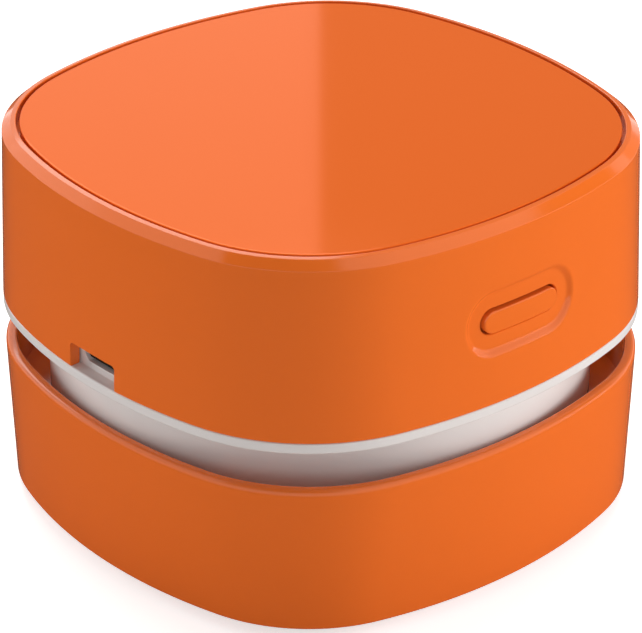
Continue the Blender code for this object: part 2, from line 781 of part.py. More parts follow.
# Motor unit
def make_upper_casing(colour):
    """Orange cap with a chamfered rim, a seat for the panel and four screw bosses."""
    rim_inset = CASING_DRAFT + TOP_CHAMFER
    rings = [
        drafted_ring(CASING_WALL, WEB_UNDER),
        drafted_ring(CASING_WALL, CASING_BASE),
        casing_ring(CASING_FOOT_CHAMFER, CASING_BASE),
        casing_ring(0, CASING_BASE + CASING_FOOT_CHAMFER),
        drafted_ring(0, CASING_TOP - TOP_CHAMFER),
        casing_ring(rim_inset, CASING_TOP),
        casing_ring(rim_inset + TOP_RIM_WIDTH, CASING_TOP),
        casing_ring(rim_inset + TOP_RIM_WIDTH, PANEL_SEAT),
    ]
    casing = loft("upper_casing", rings, colour)
    bosses = rods("casing_bosses", CASING_SCREWS, BOSS_RADIUS, CASING_BASE, WEB_UNDER + CASING_WEB / 2,
                  steps=SMALL_STEPS)
    even_wall = RECESS_DEPTH + CASING_WALL
    backing = front_pad("recess_backing", RECESS_LENGTH, RECESS_HEIGHT,
                        [(CASING_WALL / 2, CASING_WALL / 2), (CASING_WALL / 2, even_wall)])
    join(casing, bosses, backing)
    bores = rods("casing_bores", CASING_SCREWS, SCREW_HOLE, CASING_BASE - OVERRUN,
                 CASING_BASE + CASING_SCREW_LENGTH)
    slope = RECESS_BORDER * RECESS_SLOPE_SHARE
    recess = front_pad("button_recess", RECESS_LENGTH, RECESS_HEIGHT,
                       [(slope, -RECESS_DEPTH * RECESS_SLOPE_SHARE), (-RECESS_BORDER, RECESS_DEPTH)])
    hole = front_pad("button_hole", BUTTON_LENGTH, BUTTON_HEIGHT,
                     [(FIT, -OVERRUN), (FIT, even_wall + OVERRUN)])
    cut(casing, bores, recess, hole, make_port_notch())


def make_port_notch():
    """Cutter for the charging notch in the casing's lower edge."""
    left = PORT_Y - NOTCH_WIDTH / 2
    right = PORT_Y + NOTCH_WIDTH / 2
    low = CASING_BASE - OVERRUN
    top = CASING_BASE + NOTCH_HEIGHT
    outline = [(left, low), (right, low)]
    outline += corner(right - NOTCH_CORNER, top - NOTCH_CORNER, NOTCH_CORNER, 0)
    outline += corner(left + NOTCH_CORNER, top - NOTCH_CORNER, NOTCH_CORNER, math.pi / 2)
    notch = prism("port_notch", [outline], -CASING_HALF - OVERRUN, -CASING_HALF + CASING_WALL + OVERRUN)
    face_along_x(notch)
    return notch


def corner(x, y, radius, start):
    """Quarter arc about a point."""
    points = []
    for step in range(ARC_STEPS + 1):
        across, up = polar(radius, start + math.pi / 2 * step / ARC_STEPS)
        points.append((x + across, y + up))
    return points


def make_top_panel(colour):
    """Flat gloss panel set just below the rim."""
    inset = CASING_DRAFT + TOP_CHAMFER + TOP_RIM_WIDTH + FIT
    top = CASING_TOP - PANEL_SINK
    rings = [
        casing_ring(inset, PANEL_SEAT + FIT),
        casing_ring(inset, top - PANEL_CHAMFER),
        casing_ring(inset + PANEL_CHAMFER, top),
    ]
    loft("top_panel", rings, colour)


def inlet_screw_places():
    return [polar(INLET_SCREW_CIRCLE, index * math.pi / 2) for index in range(4)]


def motor_screw_places():
    return [polar(MOTOR_SCREW_CIRCLE, index * math.pi) for index in range(2)]


def board_post_places():
    return [polar(BOARD_POST_CIRCLE, angle) for angle in BOARD_POST_ANGLES]


def make_motor_housing(colour):
    """White moulding: flange under the casing, drum in the bin, collar inside the casing."""
    rings = [
        casing_ring(COLLAR_INNER_INSET, FLANGE_TOP),
        casing_ring(COLLAR_INNER_INSET, COLLAR_TOP),
        drafted_ring(COLLAR_INSET, COLLAR_TOP),
        casing_ring(COLLAR_INSET, FLANGE_TOP),
        casing_ring(FLANGE_EDGE, FLANGE_TOP),
        casing_ring(0, FLANGE_TOP - FLANGE_EDGE),
        casing_ring(0, FLANGE_BASE + FLANGE_EDGE),
        casing_ring(FLANGE_EDGE, FLANGE_BASE),
        round_ring(DRUM_RADIUS, FLANGE_BASE),
        round_ring(DRUM_RADIUS, DRUM_FOOT),
        round_ring(DRUM_INNER, DRUM_FOOT),
        round_ring(DRUM_INNER, FLANGE_BASE),
    ]
    housing = loft("motor_housing", rings, colour)
    rooted = FLANGE_BASE + FLANGE_THICKNESS / 2
    pad = rods("motor_pad", [(0, 0)], MOTOR_PAD_RADIUS, MOTOR_PAD_UNDER, rooted, steps=ROUND_STEPS)
    bosses = rods("inlet_bosses", inlet_screw_places(), BOSS_RADIUS, INLET_TOP + FIT, rooted,
                  steps=SMALL_STEPS)
    posts = rods("board_posts", board_post_places(), BOARD_POST_RADIUS, rooted, BOARD_UNDER - FIT,
                 steps=SMALL_STEPS)
    join(housing, pad, bosses, posts)
    above = FLANGE_TOP + OVERRUN
    nose_hole = rods("nose_hole", [(0, 0)], MOTOR_NOSE_RADIUS + FIT, MOTOR_PAD_UNDER - OVERRUN, above,
                     steps=ROUND_STEPS // 2)
    motor_holes = rods("motor_screw_holes", motor_screw_places(), SCREW_HOLE,
                       MOTOR_PAD_UNDER - OVERRUN, above)
    motor_heads = rods("motor_screw_sinks", motor_screw_places(), SCREW_HEAD_RADIUS + FIT,
                       MOTOR_PAD_UNDER - OVERRUN, MOTOR_PAD_UNDER + SCREW_HEAD + FIT)
    casing_holes = rods("casing_screw_holes", CASING_SCREWS, SCREW_HOLE, FLANGE_BASE - OVERRUN, above)
    inlet_bores = rods("inlet_bores", inlet_screw_places(), SCREW_HOLE, INLET_TOP,
                       INLET_TOP + INLET_SCREW_LENGTH)
    board_bores = rods("board_bores", board_post_places(), SCREW_HOLE,
                       BOARD_TOP - BOARD_SCREW_LENGTH, BOARD_TOP)
    port_hole = prism("port_hole", [port_outline(FIT)], -CASING_HALF,
                      -CASING_HALF + COLLAR_INNER_INSET + OVERRUN)
    face_along_x(port_hole)
    cut(housing, nose_hole, motor_holes, motor_heads, casing_holes, inlet_bores, board_bores, port_hole)
    cut(housing, *make_vents())


def make_vents():
    """Cutters for the exhaust slots in the drum's rear."""
    top = FLANGE_BASE - VENT_TOP_MARGIN
    slots = []
    for index in range(VENT_COUNT):
        slot = blocks(f"vent_{index}", [((DRUM_INNER - OVERRUN, -VENT_WIDTH / 2, top - VENT_HEIGHT),
                                         (DRUM_RADIUS + OVERRUN, VENT_WIDTH / 2, top))])
        slot.rotation_euler.z = VENT_CENTRE + VENT_PITCH * (index - (VENT_COUNT - 1) / 2)
        slots.append(slot)
    return slots


def make_inlet_plate(colour):
    """Plate that closes the drum, with a ribbed eye under the fan."""
    rim = circle(DRUM_INNER - FIT)
    pitch = (INLET_EYE_RADIUS - INLET_HUB_RADIUS) / INLET_BANDS
    openings = []
    for ring in range(INLET_BANDS):
        inner = INLET_HUB_RADIUS + ring * pitch + (INLET_RIB if ring else 0)
        outer = INLET_HUB_RADIUS + (ring + 1) * pitch
        for sector in range(INLET_SECTORS):
            start = 2 * math.pi * sector / INLET_SECTORS + INLET_RIB / inner / 2
            end = 2 * math.pi * (sector + 1) / INLET_SECTORS - INLET_RIB / inner / 2
            openings.append(band(inner, outer, start, end, ARC_STEPS))
    plate = prism("inlet_plate", [rim, *openings], INLET_UNDER, INLET_TOP, colour)
    holes = rods("inlet_holes", inlet_screw_places(), SCREW_HOLE, INLET_UNDER - OVERRUN, INLET_TOP + OVERRUN)
    sinks = rods("inlet_sinks", inlet_screw_places(), SCREW_HEAD_RADIUS + FIT, INLET_UNDER - OVERRUN,
                 INLET_UNDER + SCREW_HEAD + FIT)
    cut(plate, holes, sinks)


def make_screw(name, x, y, head_low, length, colour, downward=False):
    """Pan head screw that stands on its head; head_low is the head's outer face."""
    profile = [
        (0, length),
        (SCREW_RADIUS, length - SCREW_RADIUS),
        (SCREW_RADIUS, SCREW_HEAD),
        (SCREW_HEAD_RADIUS, SCREW_HEAD),
        (SCREW_HEAD_RADIUS - SCREW_HEAD_BEVEL, 0),
        (0, 0),
    ]
    screw = turned(name, profile, SMALL_STEPS, colour)
    screw.location = (x, y, head_low)
    if downward:
        screw.rotation_euler.x = math.pi
    return screw


def make_screws(colour):
    for number, (x, y) in enumerate(CASING_SCREWS, start=1):
        low = FLANGE_BASE - FIT - SCREW_HEAD
        make_screw(f"casing_screw_{number}", x, y, low, CASING_SCREW_LENGTH, colour)
    for number, (x, y) in enumerate(inlet_screw_places(), start=1):
        make_screw(f"inlet_screw_{number}", x, y, INLET_UNDER, INLET_SCREW_LENGTH, colour)
    for number, (x, y) in enumerate(motor_screw_places(), start=1):
        make_screw(f"motor_screw_{number}", x, y, MOTOR_PAD_UNDER, MOTOR_SCREW_LENGTH, colour)
    for number, (x, y) in enumerate(board_post_places(), start=1):
        top = BOARD_TOP + FIT + SCREW_HEAD
        make_screw(f"board_screw_{number}", x, y, top, BOARD_SCREW_LENGTH, colour, downward=True)


def make_motor(steel, black, bronze, ferrite):
    """Small round motor: can, end cap, two bearings and two magnets."""
    inner = MOTOR_RADIUS - MOTOR_WALL
    nose_base = MOTOR_BASE - MOTOR_NOSE
    pocket = BEARING_RADIUS + FIT
    profile = [
        (inner, MOTOR_TOP),
        (MOTOR_RADIUS, MOTOR_TOP),
        (MOTOR_RADIUS, MOTOR_BASE + MOTOR_EDGE),
        (MOTOR_RADIUS - MOTOR_EDGE, MOTOR_BASE),
        (MOTOR_NOSE_RADIUS, MOTOR_BASE),
        (MOTOR_NOSE_RADIUS, nose_base),
        (SHAFT_HOLE, nose_base),
        (SHAFT_HOLE, nose_base + BEARING_LIP),
        (pocket, nose_base + BEARING_LIP),
        (pocket, MOTOR_BASE + MOTOR_FACE),
        (inner, MOTOR_BASE + MOTOR_FACE),
    ]
    can = turned("motor_can", profile, ROUND_STEPS, steel)
    threads = rods("motor_threads", motor_screw_places(), SCREW_HOLE, MOTOR_BASE - OVERRUN,
                   MOTOR_BASE + MOTOR_FACE + OVERRUN)
    cut(can, threads)
    cap_base = MOTOR_TOP + FIT
    hub_base = cap_base - BEARING_LENGTH - FIT
    cap = [
        (SHAFT_HOLE, cap_base + END_CAP),
        (MOTOR_RADIUS - MOTOR_EDGE, cap_base + END_CAP),
        (MOTOR_RADIUS, cap_base + END_CAP - MOTOR_EDGE),
        (MOTOR_RADIUS, cap_base),
        (END_CAP_HUB_RADIUS, cap_base),
        (END_CAP_HUB_RADIUS, hub_base),
        (pocket, hub_base),
        (pocket, cap_base + FIT),
        (SHAFT_HOLE, cap_base + FIT),
    ]
    turned("motor_end_cap", cap, ROUND_STEPS, black)
    bearings = {"bearing_front": nose_base + BEARING_LIP + FIT, "bearing_rear": cap_base - BEARING_LENGTH}
    for name, low in bearings.items():
        bush = [
            (SHAFT_HOLE, low + BEARING_LENGTH),
            (BEARING_RADIUS, low + BEARING_LENGTH),
            (BEARING_RADIUS, low),
            (SHAFT_HOLE, low),
        ]
        turned(name, bush, SMALL_STEPS, bronze)
    outer = inner - FIT
    magnet_low = MOTOR_BASE + MOTOR_FACE + MAGNET_GAP
    magnet_high = hub_base - MAGNET_GAP
    for number in (1, 2):
        start = math.pi * number - MAGNET_SWEEP / 2
        outline = band(outer - MAGNET_THICKNESS, outer, start, start + MAGNET_SWEEP, SMALL_STEPS)
        prism(f"magnet_{number}", [outline], magnet_low, magnet_high, ferrite)


def make_rotor(steel, iron, copper, fan_colour):
    """Everything that spins: shaft, armature, commutator and fan."""
    shaft_low = FAN_HUB_LOW - SHAFT_TIP
    shaft = [
        (0, SHAFT_HIGH),
        (SHAFT_RADIUS - SHAFT_CHAMFER, SHAFT_HIGH),
        (SHAFT_RADIUS, SHAFT_HIGH - SHAFT_CHAMFER),
        (SHAFT_RADIUS, shaft_low + SHAFT_CHAMFER),
        (SHAFT_RADIUS - SHAFT_CHAMFER, shaft_low),
        (0, shaft_low),
    ]
    turned("motor_shaft", shaft, SMALL_STEPS, steel)
    pole_radius = MOTOR_RADIUS - MOTOR_WALL - FIT - MAGNET_THICKNESS - ARMATURE_GAP
    hub_base = MOTOR_TOP - BEARING_LENGTH
    commutator_low = hub_base - COMMUTATOR_GAP - COMMUTATOR_HEIGHT
    armature_low = MOTOR_BASE + MOTOR_FACE + ARMATURE_ROOM
    armature_high = commutator_low - FIT
    armature = prism("armature", [armature_outline(pole_radius)], armature_low, armature_high, iron)
    bore = rods("armature_bore", [(0, 0)], SHAFT_HOLE, armature_low - OVERRUN, armature_high + OVERRUN)
    cut(armature, bore)
    ring = [
        (SHAFT_HOLE, commutator_low + COMMUTATOR_HEIGHT),
        (COMMUTATOR_RADIUS, commutator_low + COMMUTATOR_HEIGHT),
        (COMMUTATOR_RADIUS, commutator_low),
        (SHAFT_HOLE, commutator_low),
    ]
    turned("commutator", ring, SMALL_STEPS, copper)
    make_impeller(fan_colour)


def armature_outline(radius):
    """Laminated core with T shaped poles round a hub."""
    outline = []
    neck = POLE_NECK / 2
    for pole in range(ARMATURE_POLES):
        middle = 2 * math.pi * pole / ARMATURE_POLES
        under = radius - POLE_TIP
        outline.append(polar(ARMATURE_HUB_RADIUS, middle - math.asin(neck / ARMATURE_HUB_RADIUS)))
        outline.append(polar(under, middle - math.asin(neck / under)))
        outline.append(polar(under, middle - POLE_SWEEP / 2))
        for step in range(2 * ARC_STEPS + 1):
            outline.append(polar(radius, middle + POLE_SWEEP * (step / (2 * ARC_STEPS) - 1 / 2)))
        outline.append(polar(under, middle + POLE_SWEEP / 2))
        outline.append(polar(under, middle + math.asin(neck / under)))
        outline.append(polar(ARMATURE_HUB_RADIUS, middle + math.asin(neck / ARMATURE_HUB_RADIUS)))
    return outline


def blade_outline(start):
    """Plan of one blade, swept back from the eye to the disc's edge."""
    reach = FAN_RADIUS - BLADE_OUTER_INSET - BLADE_INNER_RADIUS
    spine = []
    for step in range(BLADE_STEPS + 1):
        share = step / BLADE_STEPS
        spine.append(Vector(polar(BLADE_INNER_RADIUS + reach * share, start + BLADE_SWEEP * share)))
    left, right = [], []
    for here, point in enumerate(spine):
        ahead = spine[min(here + 1, BLADE_STEPS)] - spine[max(here - 1, 0)]
        across = Vector((-ahead.y, ahead.x)).normalized() * BLADE_THICKNESS / 2
        left.append(tuple(point + across))
        right.append(tuple(point - across))
    return left + right[::-1]


def make_impeller(colour):
    """Open fan wheel: a disc with a hub and swept blades below it."""
    disc_under = FAN_TOP - FAN_DISC
    profile = [
        (SHAFT_HOLE, FAN_TOP),
        (FAN_RADIUS, FAN_TOP),
        (FAN_RADIUS, disc_under),
        (FAN_HUB_RADIUS, disc_under),
        (FAN_HUB_RADIUS - FAN_DISC / 2, FAN_HUB_LOW),
        (SHAFT_HOLE, FAN_HUB_LOW),
    ]
    fan = turned("impeller", profile, ROUND_STEPS, colour)
    outlines = [blade_outline(2 * math.pi * blade / FAN_BLADES) for blade in range(FAN_BLADES)]
    blades = prism("fan_blades", outlines, FAN_LOW, disc_under + FAN_DISC / 2)
    eye = [
        (0, FAN_LOW + EYE_DEPTH),
        (EYE_TOP_RADIUS, FAN_LOW + EYE_DEPTH),
        (EYE_LOW_RADIUS, FAN_LOW - OVERRUN),
        (0, FAN_LOW - OVERRUN),
    ]
    cut(blades, turned("fan_eye", eye, ROUND_STEPS))
    join(fan, blades)


def make_battery(wrap_colour, cradle_colour):
    """Round cell in a cradle behind the motor."""
    cradle_low = FLANGE_TOP + FIT
    middle = cradle_low + CRADLE_FLOOR + FIT + CELL_RADIUS
    side = CELL_RADIUS + FIT + CRADLE_WALL
    outer_half = collar_reach(CELL_PLACE_Y + side) - CELL_ROOM
    pocket_half = outer_half - CRADLE_WALL
    half = pocket_half - FIT
    profile = [
        (0, half),
        (CELL_CAP_RADIUS, half),
        (CELL_CAP_RADIUS, half - CELL_CAP),
        (CELL_RADIUS - CELL_EDGE, half - CELL_CAP),
        (CELL_RADIUS, half - CELL_CAP - CELL_EDGE),
        (CELL_RADIUS, CELL_EDGE - half),
        (CELL_RADIUS - CELL_EDGE, -half),
        (0, -half),
    ]
    cell = turned("battery_cell", profile, ROUND_STEPS // 2, wrap_colour)
    cell.rotation_euler.y = math.pi / 2
    cell.location = (0, CELL_PLACE_Y, middle)
    low = (-outer_half, CELL_PLACE_Y - side, cradle_low)
    high = (outer_half, CELL_PLACE_Y + side, cradle_low + CRADLE_HEIGHT)
    cradle = blocks("battery_cradle", [(low, high)], cradle_colour)
    pocket = rods("cell_pocket", [(0, 0)], CELL_RADIUS + FIT, -pocket_half, pocket_half,
                  steps=ROUND_STEPS // 2)
    pocket.rotation_euler.y = math.pi / 2
    pocket.location = (0, CELL_PLACE_Y, middle)
    cut(cradle, pocket)


# Board, port and switch
def port_outline(grow):
    """Charging socket seen from outside: a low slot with cut lower corners."""
    half = PORT_WIDTH / 2 + grow
    rise = PORT_HEIGHT / 2 + grow
    low = PORT_LOW_CORNER
    top = PORT_TOP_CORNER
    return [
        (PORT_Y - half + low, PORT_Z - rise), (PORT_Y + half - low, PORT_Z - rise),
        (PORT_Y + half, PORT_Z - rise + low), (PORT_Y + half, PORT_Z + rise - top),
        (PORT_Y + half - top, PORT_Z + rise), (PORT_Y - half + top, PORT_Z + rise),
        (PORT_Y - half, PORT_Z + rise - top), (PORT_Y - half, PORT_Z - rise + low),
    ]


def make_port(colour):
    """Metal charging socket behind the slot in the collar."""
    mouth = -CASING_HALF + COLLAR_INSET + FIT
    back = mouth + PORT_DEPTH
    socket = prism("charging_socket", [port_outline(0)], mouth, back, colour)
    face_along_x(socket)
    hollow = prism("socket_hollow", [port_outline(-PORT_WALL)], mouth - OVERRUN, back - PORT_BACK)
    face_along_x(hollow)
    low = (mouth + PORT_BACK, PORT_Y - PORT_TONGUE_WIDTH / 2, PORT_Z - PORT_TONGUE / 2)
    high = (back - PORT_BACK / 2, PORT_Y + PORT_TONGUE_WIDTH / 2, PORT_Z + PORT_TONGUE / 2)
    tongue = blocks("socket_tongue", [(low, high)])
    cut(socket, hollow)
    join(socket, tongue)


def make_board(green, black):
    """Circuit board round the motor, on two posts, with its charging chip."""
    outline = band(BOARD_INNER_RADIUS, BOARD_OUTER_RADIUS, BOARD_START, BOARD_END, SMALL_STEPS)
    board = prism("circuit_board", [outline], BOARD_UNDER, BOARD_TOP, green)
    boss_hole = rods("board_boss_hole", CASING_SCREWS[:1], BOSS_RADIUS + FIT, BOARD_UNDER - OVERRUN,
                     BOARD_TOP + OVERRUN)
    screw_holes = rods("board_screw_holes", board_post_places(), SCREW_HOLE, BOARD_UNDER - OVERRUN,
                       BOARD_TOP + OVERRUN)
    cut(board, boss_hole, screw_holes)
    x, y = polar(CHIP_CIRCLE, CHIP_ANGLE)
    half = CHIP_WIDTH / 2
    low = BOARD_TOP + FIT
    chip = blocks("charge_chip", [((-half, -half, low), (half, half, low + CHIP_HEIGHT))], black)
    chip.location = (x, y, 0)
    chip.rotation_euler.z = CHIP_ANGLE


def button_back():
    """Y of the back of the button's lip at its middle."""
    depth = RECESS_DEPTH + CASING_WALL + FIT + BUTTON_LIP_THICKNESS
    return front_point(0, BUTTON_Z, depth).y


def make_switch(black, plunger_colour):
    """Push switch on the board, with its plunger behind the button's stem."""
    tip = button_back() + BUTTON_STEM + FIT
    front = tip + PLUNGER_PROUD
    half = SWITCH_WIDTH / 2
    roof = BUTTON_Z + PLUNGER_WIDTH / 2 + FIT + SWITCH_ROOF
    body = blocks("switch_body",
                  [((-half, front, BOARD_TOP + FIT), (half, front + SWITCH_DEPTH, roof))], black)
    shaft = PLUNGER_WIDTH / 2
    bore_half = shaft + FIT
    bore_end = tip + PLUNGER_LENGTH + BUTTON_TRAVEL + FIT
    bore = blocks("switch_bore", [((-bore_half, front - OVERRUN, BUTTON_Z - bore_half),
                                   (bore_half, bore_end, BUTTON_Z + bore_half))])
    cut(body, bore)
    low = (-shaft, tip, BUTTON_Z - shaft)
    high = (shaft, tip + PLUNGER_LENGTH, BUTTON_Z + shaft)
    blocks("switch_plunger", [(low, high)], plunger_colour)


def make_button(colour):
    """Pill cap that fills its hole, with a lip inside the wall and a stem."""
    face = RECESS_DEPTH - BUTTON_PROUD
    lip_front = RECESS_DEPTH + CASING_WALL + FIT
    lip_back = lip_front + BUTTON_LIP_THICKNESS
    levels = [
        (-BUTTON_CROWN, face),
        (0, face + BUTTON_CROWN_DROP),
        (0, lip_front),
        (BUTTON_LIP, lip_front),
        (BUTTON_LIP, lip_back),
    ]
    button = front_pad("power_button", BUTTON_LENGTH, BUTTON_HEIGHT, levels, colour)
    root = button_back() - BUTTON_LIP_THICKNESS / 2
    stem = rods("button_stem", [(0, -BUTTON_Z)], BUTTON_STEM_RADIUS, root, button_back() + BUTTON_STEM,
                steps=SMALL_STEPS)
    face_along_y(stem)
    join(button, stem)


def main():
    global PARTS, TOOLS
    clear_scene()
    PARTS = new_collection("desktop_mini_vacuum")
    TOOLS = new_collection("cutting_tools")
    orange = plastic("orange_satin", (0.80, 0.16, 0.022), 0.42)
    gloss_orange = plastic("orange_gloss", (0.80, 0.16, 0.022), 0.12)
    white = plastic("white_plastic", (0.72, 0.68, 0.66), 0.40)
    dark = plastic("dark_plastic", (0.03, 0.03, 0.035), 0.45)
    bristle = plastic("nylon_bristle", (0.62, 0.60, 0.56), 0.55)
    rubber = plastic("soft_rubber", (0.05, 0.05, 0.05), 0.80)
    felt = plastic("filter_felt", (0.70, 0.70, 0.68), 0.90)
    steel = plastic("plated_steel", (0.60, 0.60, 0.60), 0.28, 1.0)
    ferrite = plastic("ferrite", (0.08, 0.08, 0.08), 0.60)
    bronze = plastic("bronze", (0.55, 0.33, 0.14), 0.35, 1.0)
    green = plastic("board_green", (0.03, 0.18, 0.07), 0.40)
    wrap = plastic("cell_wrap", (0.04, 0.16, 0.42), 0.35)
    make_bin_shell(orange)
    make_suction_nozzle(dark)
    for number, angle in enumerate(brush_angles(), start=1):
        make_brush_strip(f"brush_strip_{number}", angle, bristle)
    make_feet(rubber)
    make_filter(white, felt)
    make_seal(rubber)
    make_upper_casing(orange)
    make_top_panel(gloss_orange)
    make_motor_housing(white)
    make_inlet_plate(white)
    make_screws(steel)
    make_motor(steel, dark, bronze, ferrite)
    make_rotor(steel, steel, bronze, white)
    make_battery(wrap, dark)
    make_port(steel)
    make_board(green, dark)
    make_switch(dark, white)
    make_button(orange)


main()
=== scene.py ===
"""Dresses the desktop mini vacuum cleaner: moulded skins, bristles, screws, finishes and a studio."""
import math

import bmesh
import bpy
from bpy.props import FloatProperty, FloatVectorProperty, IntProperty, PointerProperty
from mathutils import Matrix, Vector


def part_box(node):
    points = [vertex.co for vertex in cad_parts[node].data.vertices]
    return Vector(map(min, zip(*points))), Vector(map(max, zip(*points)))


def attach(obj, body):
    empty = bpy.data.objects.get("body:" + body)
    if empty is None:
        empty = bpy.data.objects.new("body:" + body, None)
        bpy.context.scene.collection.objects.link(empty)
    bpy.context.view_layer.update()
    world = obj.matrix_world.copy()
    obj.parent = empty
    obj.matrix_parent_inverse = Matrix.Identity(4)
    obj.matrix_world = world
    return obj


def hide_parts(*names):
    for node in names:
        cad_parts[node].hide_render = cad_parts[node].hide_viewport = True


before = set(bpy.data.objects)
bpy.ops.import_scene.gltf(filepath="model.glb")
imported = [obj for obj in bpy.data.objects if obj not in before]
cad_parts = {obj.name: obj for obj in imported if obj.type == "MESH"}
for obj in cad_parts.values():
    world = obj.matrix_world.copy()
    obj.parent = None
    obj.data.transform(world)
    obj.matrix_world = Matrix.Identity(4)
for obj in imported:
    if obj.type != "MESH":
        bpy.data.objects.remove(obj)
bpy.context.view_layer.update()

bl_info = {
    "name": "Desktop vacuum dressing",
    "version": (1, 0, 0),
    "blender": (4, 5, 0),
    "location": "3D View > Sidebar > Vacuum",
    "description": "Builds the skins, bristles, screws and finishes of a desktop mini vacuum cleaner",
    "category": "Object",
}

CASING_LOW, CASING_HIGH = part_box("upper_casing")
HOUSING_LOW, HOUSING_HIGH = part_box("motor_housing")
BIN_LOW, BIN_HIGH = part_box("bin_shell")
PANEL_LOW, PANEL_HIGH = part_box("top_panel")
BUTTON_LOW, BUTTON_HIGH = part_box("power_button")
FILTER_LOW, FILTER_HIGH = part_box("filter_frame")
PAD_LOW, PAD_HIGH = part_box("filter_pad")
SEAL_LOW, SEAL_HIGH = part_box("seal_ring")
FAN_LOW, FAN_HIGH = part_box("impeller")
INLET_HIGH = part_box("inlet_plate")[1]
NOZZLE_LOW, NOZZLE_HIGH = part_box("suction_nozzle")
FACE_DROP = 0.0003          # the photo shows button and recess this much lower than the solids
BUTTON_Z = (BUTTON_LOW.z + BUTTON_HIGH.z) / 2 - FACE_DROP
OVER = 0.001                # how far a cutter passes the face that it cuts
SCREW_CORE = 0.0011         # radius of a screw's bore
BOSS_RADIUS = 0.0028
MOUTH_RADIUS, THROAT_RADIUS, NOZZLE_LIP = 0.0100, 0.0112, 0.0009
FILTER_LIP, FILTER_WALL, FILTER_LEDGE = 0.0029, 0.0014, 0.0037
SEAL_WIDTH = 0.0026
HUB_RADIUS, SHAFT_BORE = 0.00375, 0.0013
BUTTON_LIP = 0.0012


# Settings that a user would change
def length(name, description, default):
    return FloatProperty(name=name, description=description, default=default, unit="LENGTH", precision=5)


def angle(name, description, degrees):
    return FloatProperty(name=name, description=description, default=math.radians(degrees), unit="ROTATION")


def number(name, description, default):
    return IntProperty(name=name, description=description, default=default, min=1)


def share(name, description, default):
    return FloatProperty(name=name, description=description, default=default, min=0, max=1, subtype="FACTOR")


def colour(name, description, default):
    return FloatVectorProperty(name=name, description=description, default=default, size=3, min=0, max=1,
                               subtype="COLOR")


class CasingSizes(bpy.types.PropertyGroup):
    """Sizes of the upper casing, its panel, button and charging notch."""
    side_bow: length("Side bow", "Radius of the bowed sides", 0.0786)
    corner: length("Corner radius", "Radius of the four corners", 0.02705)
    draft: length("Draft", "How far the side leans in from foot to rim", 0.00095)
    wall: length("Wall", "Thickness of the side", 0.0016)
    foot_round: length("Foot rounding", "Rounding along the lower edge", 0.0002)
    foot_drop: length("Foot drop", "How far the lower edge reaches down to close the seam", 0.00024)
    chamfer: length("Chamfer", "Width and height of the chamfer round the top", 0.00125)
    chamfer_round: length("Chamfer rounding", "Rounding along both edges of the chamfer", 0.00016)
    rim_gap: length("Rim gap", "Gap between the rim and the panel", 0.0005)
    rim_fall: length("Rim fall", "How far the rim falls towards its outer edge", 0.00014)
    panel_round: length("Panel rounding", "Rounding along the panel's edge", 0.00020)
    recess_length: length("Recess length", "Length of the dished recess round the button", 0.0202)
    recess_height: length("Recess height", "Height of the recess", 0.01025)
    recess_depth: length("Recess depth", "Depth of the recess floor", 0.0006)
    recess_border: length("Recess slope", "Width of the sloping border", 0.00115)
    button_length: length("Button length", "Length of the button's face", 0.0135)
    button_height: length("Button height", "Height of the button's face", 0.0032)
    button_proud: length("Button stand", "How far the face stands above the recess floor", 0.00045)
    button_crown: length("Button crown", "Width of the rounding round the face", 0.00022)
    notch_middle: length("Notch middle", "Middle of the charging notch along the left side", -0.0007)
    notch_width: length("Notch width", "Width of the charging notch", 0.0097)
    notch_height: length("Notch height", "Height of the charging notch", 0.00355)
    notch_corner: length("Notch corner", "Rounding of the notch's upper corners", 0.0006)
    gap: length("Gap", "Gap between neighbouring pieces", 0.0003)


class BinSizes(bpy.types.PropertyGroup):
    """Sizes of the dust bin and what is set in its floor."""
    rim_bow: length("Rim side bow", "Radius of the bowed sides at the rim", 0.0786)
    rim_corner: length("Rim corner", "Corner radius at the rim", 0.0264)
    base_bow: length("Base side bow", "Radius of the bowed sides at the base", 0.0754)
    base_corner: length("Base corner", "Corner radius at the base", 0.0235)
    base_step: length("Taper", "How far the base stands inside the rim", 0.00093)
    wall: length("Wall", "Thickness of the side", 0.00156)
    floor: length("Floor", "Thickness of the floor", 0.0026)
    rim_round: length("Rim rounding", "Rounding of the rim's outer edge", 0.0009)
    base_round: length("Base rounding", "Rounding round the base", 0.0004)
    shelf_depth: length("Shelf depth", "How far the shelf lies below the rim", 0.0079)
    shelf: length("Shelf", "Thickness of the shelf that carries the filter", 0.0014)
    foot_radius: length("Foot radius", "Radius of the glide feet", 0.0035)
    foot_socket: length("Foot socket", "Depth of the sockets for the feet", 0.0008)
    brush_radius: length("Brush circle", "Radius of the circle of brush strips", 0.0205)
    brush_width: length("Brush width", "Width of a brush strip", 0.0036)
    brush_sink: length("Brush sink", "How far a strip's backing lies above the floor's underside", 0.0003)
    brush_backing: length("Brush backing", "Thickness of a strip's backing", 0.0012)
    brush_sweep: angle("Brush sweep", "Angle that one strip covers", 68)
    tufts_along: number("Tufts along", "Rows of bristles along a strip", 46)
    tufts_across: number("Tufts across", "Rows of bristles across a strip", 7)
    bristle_radius: length("Bristle radius", "Radius of a bristle at its root", 0.00014)


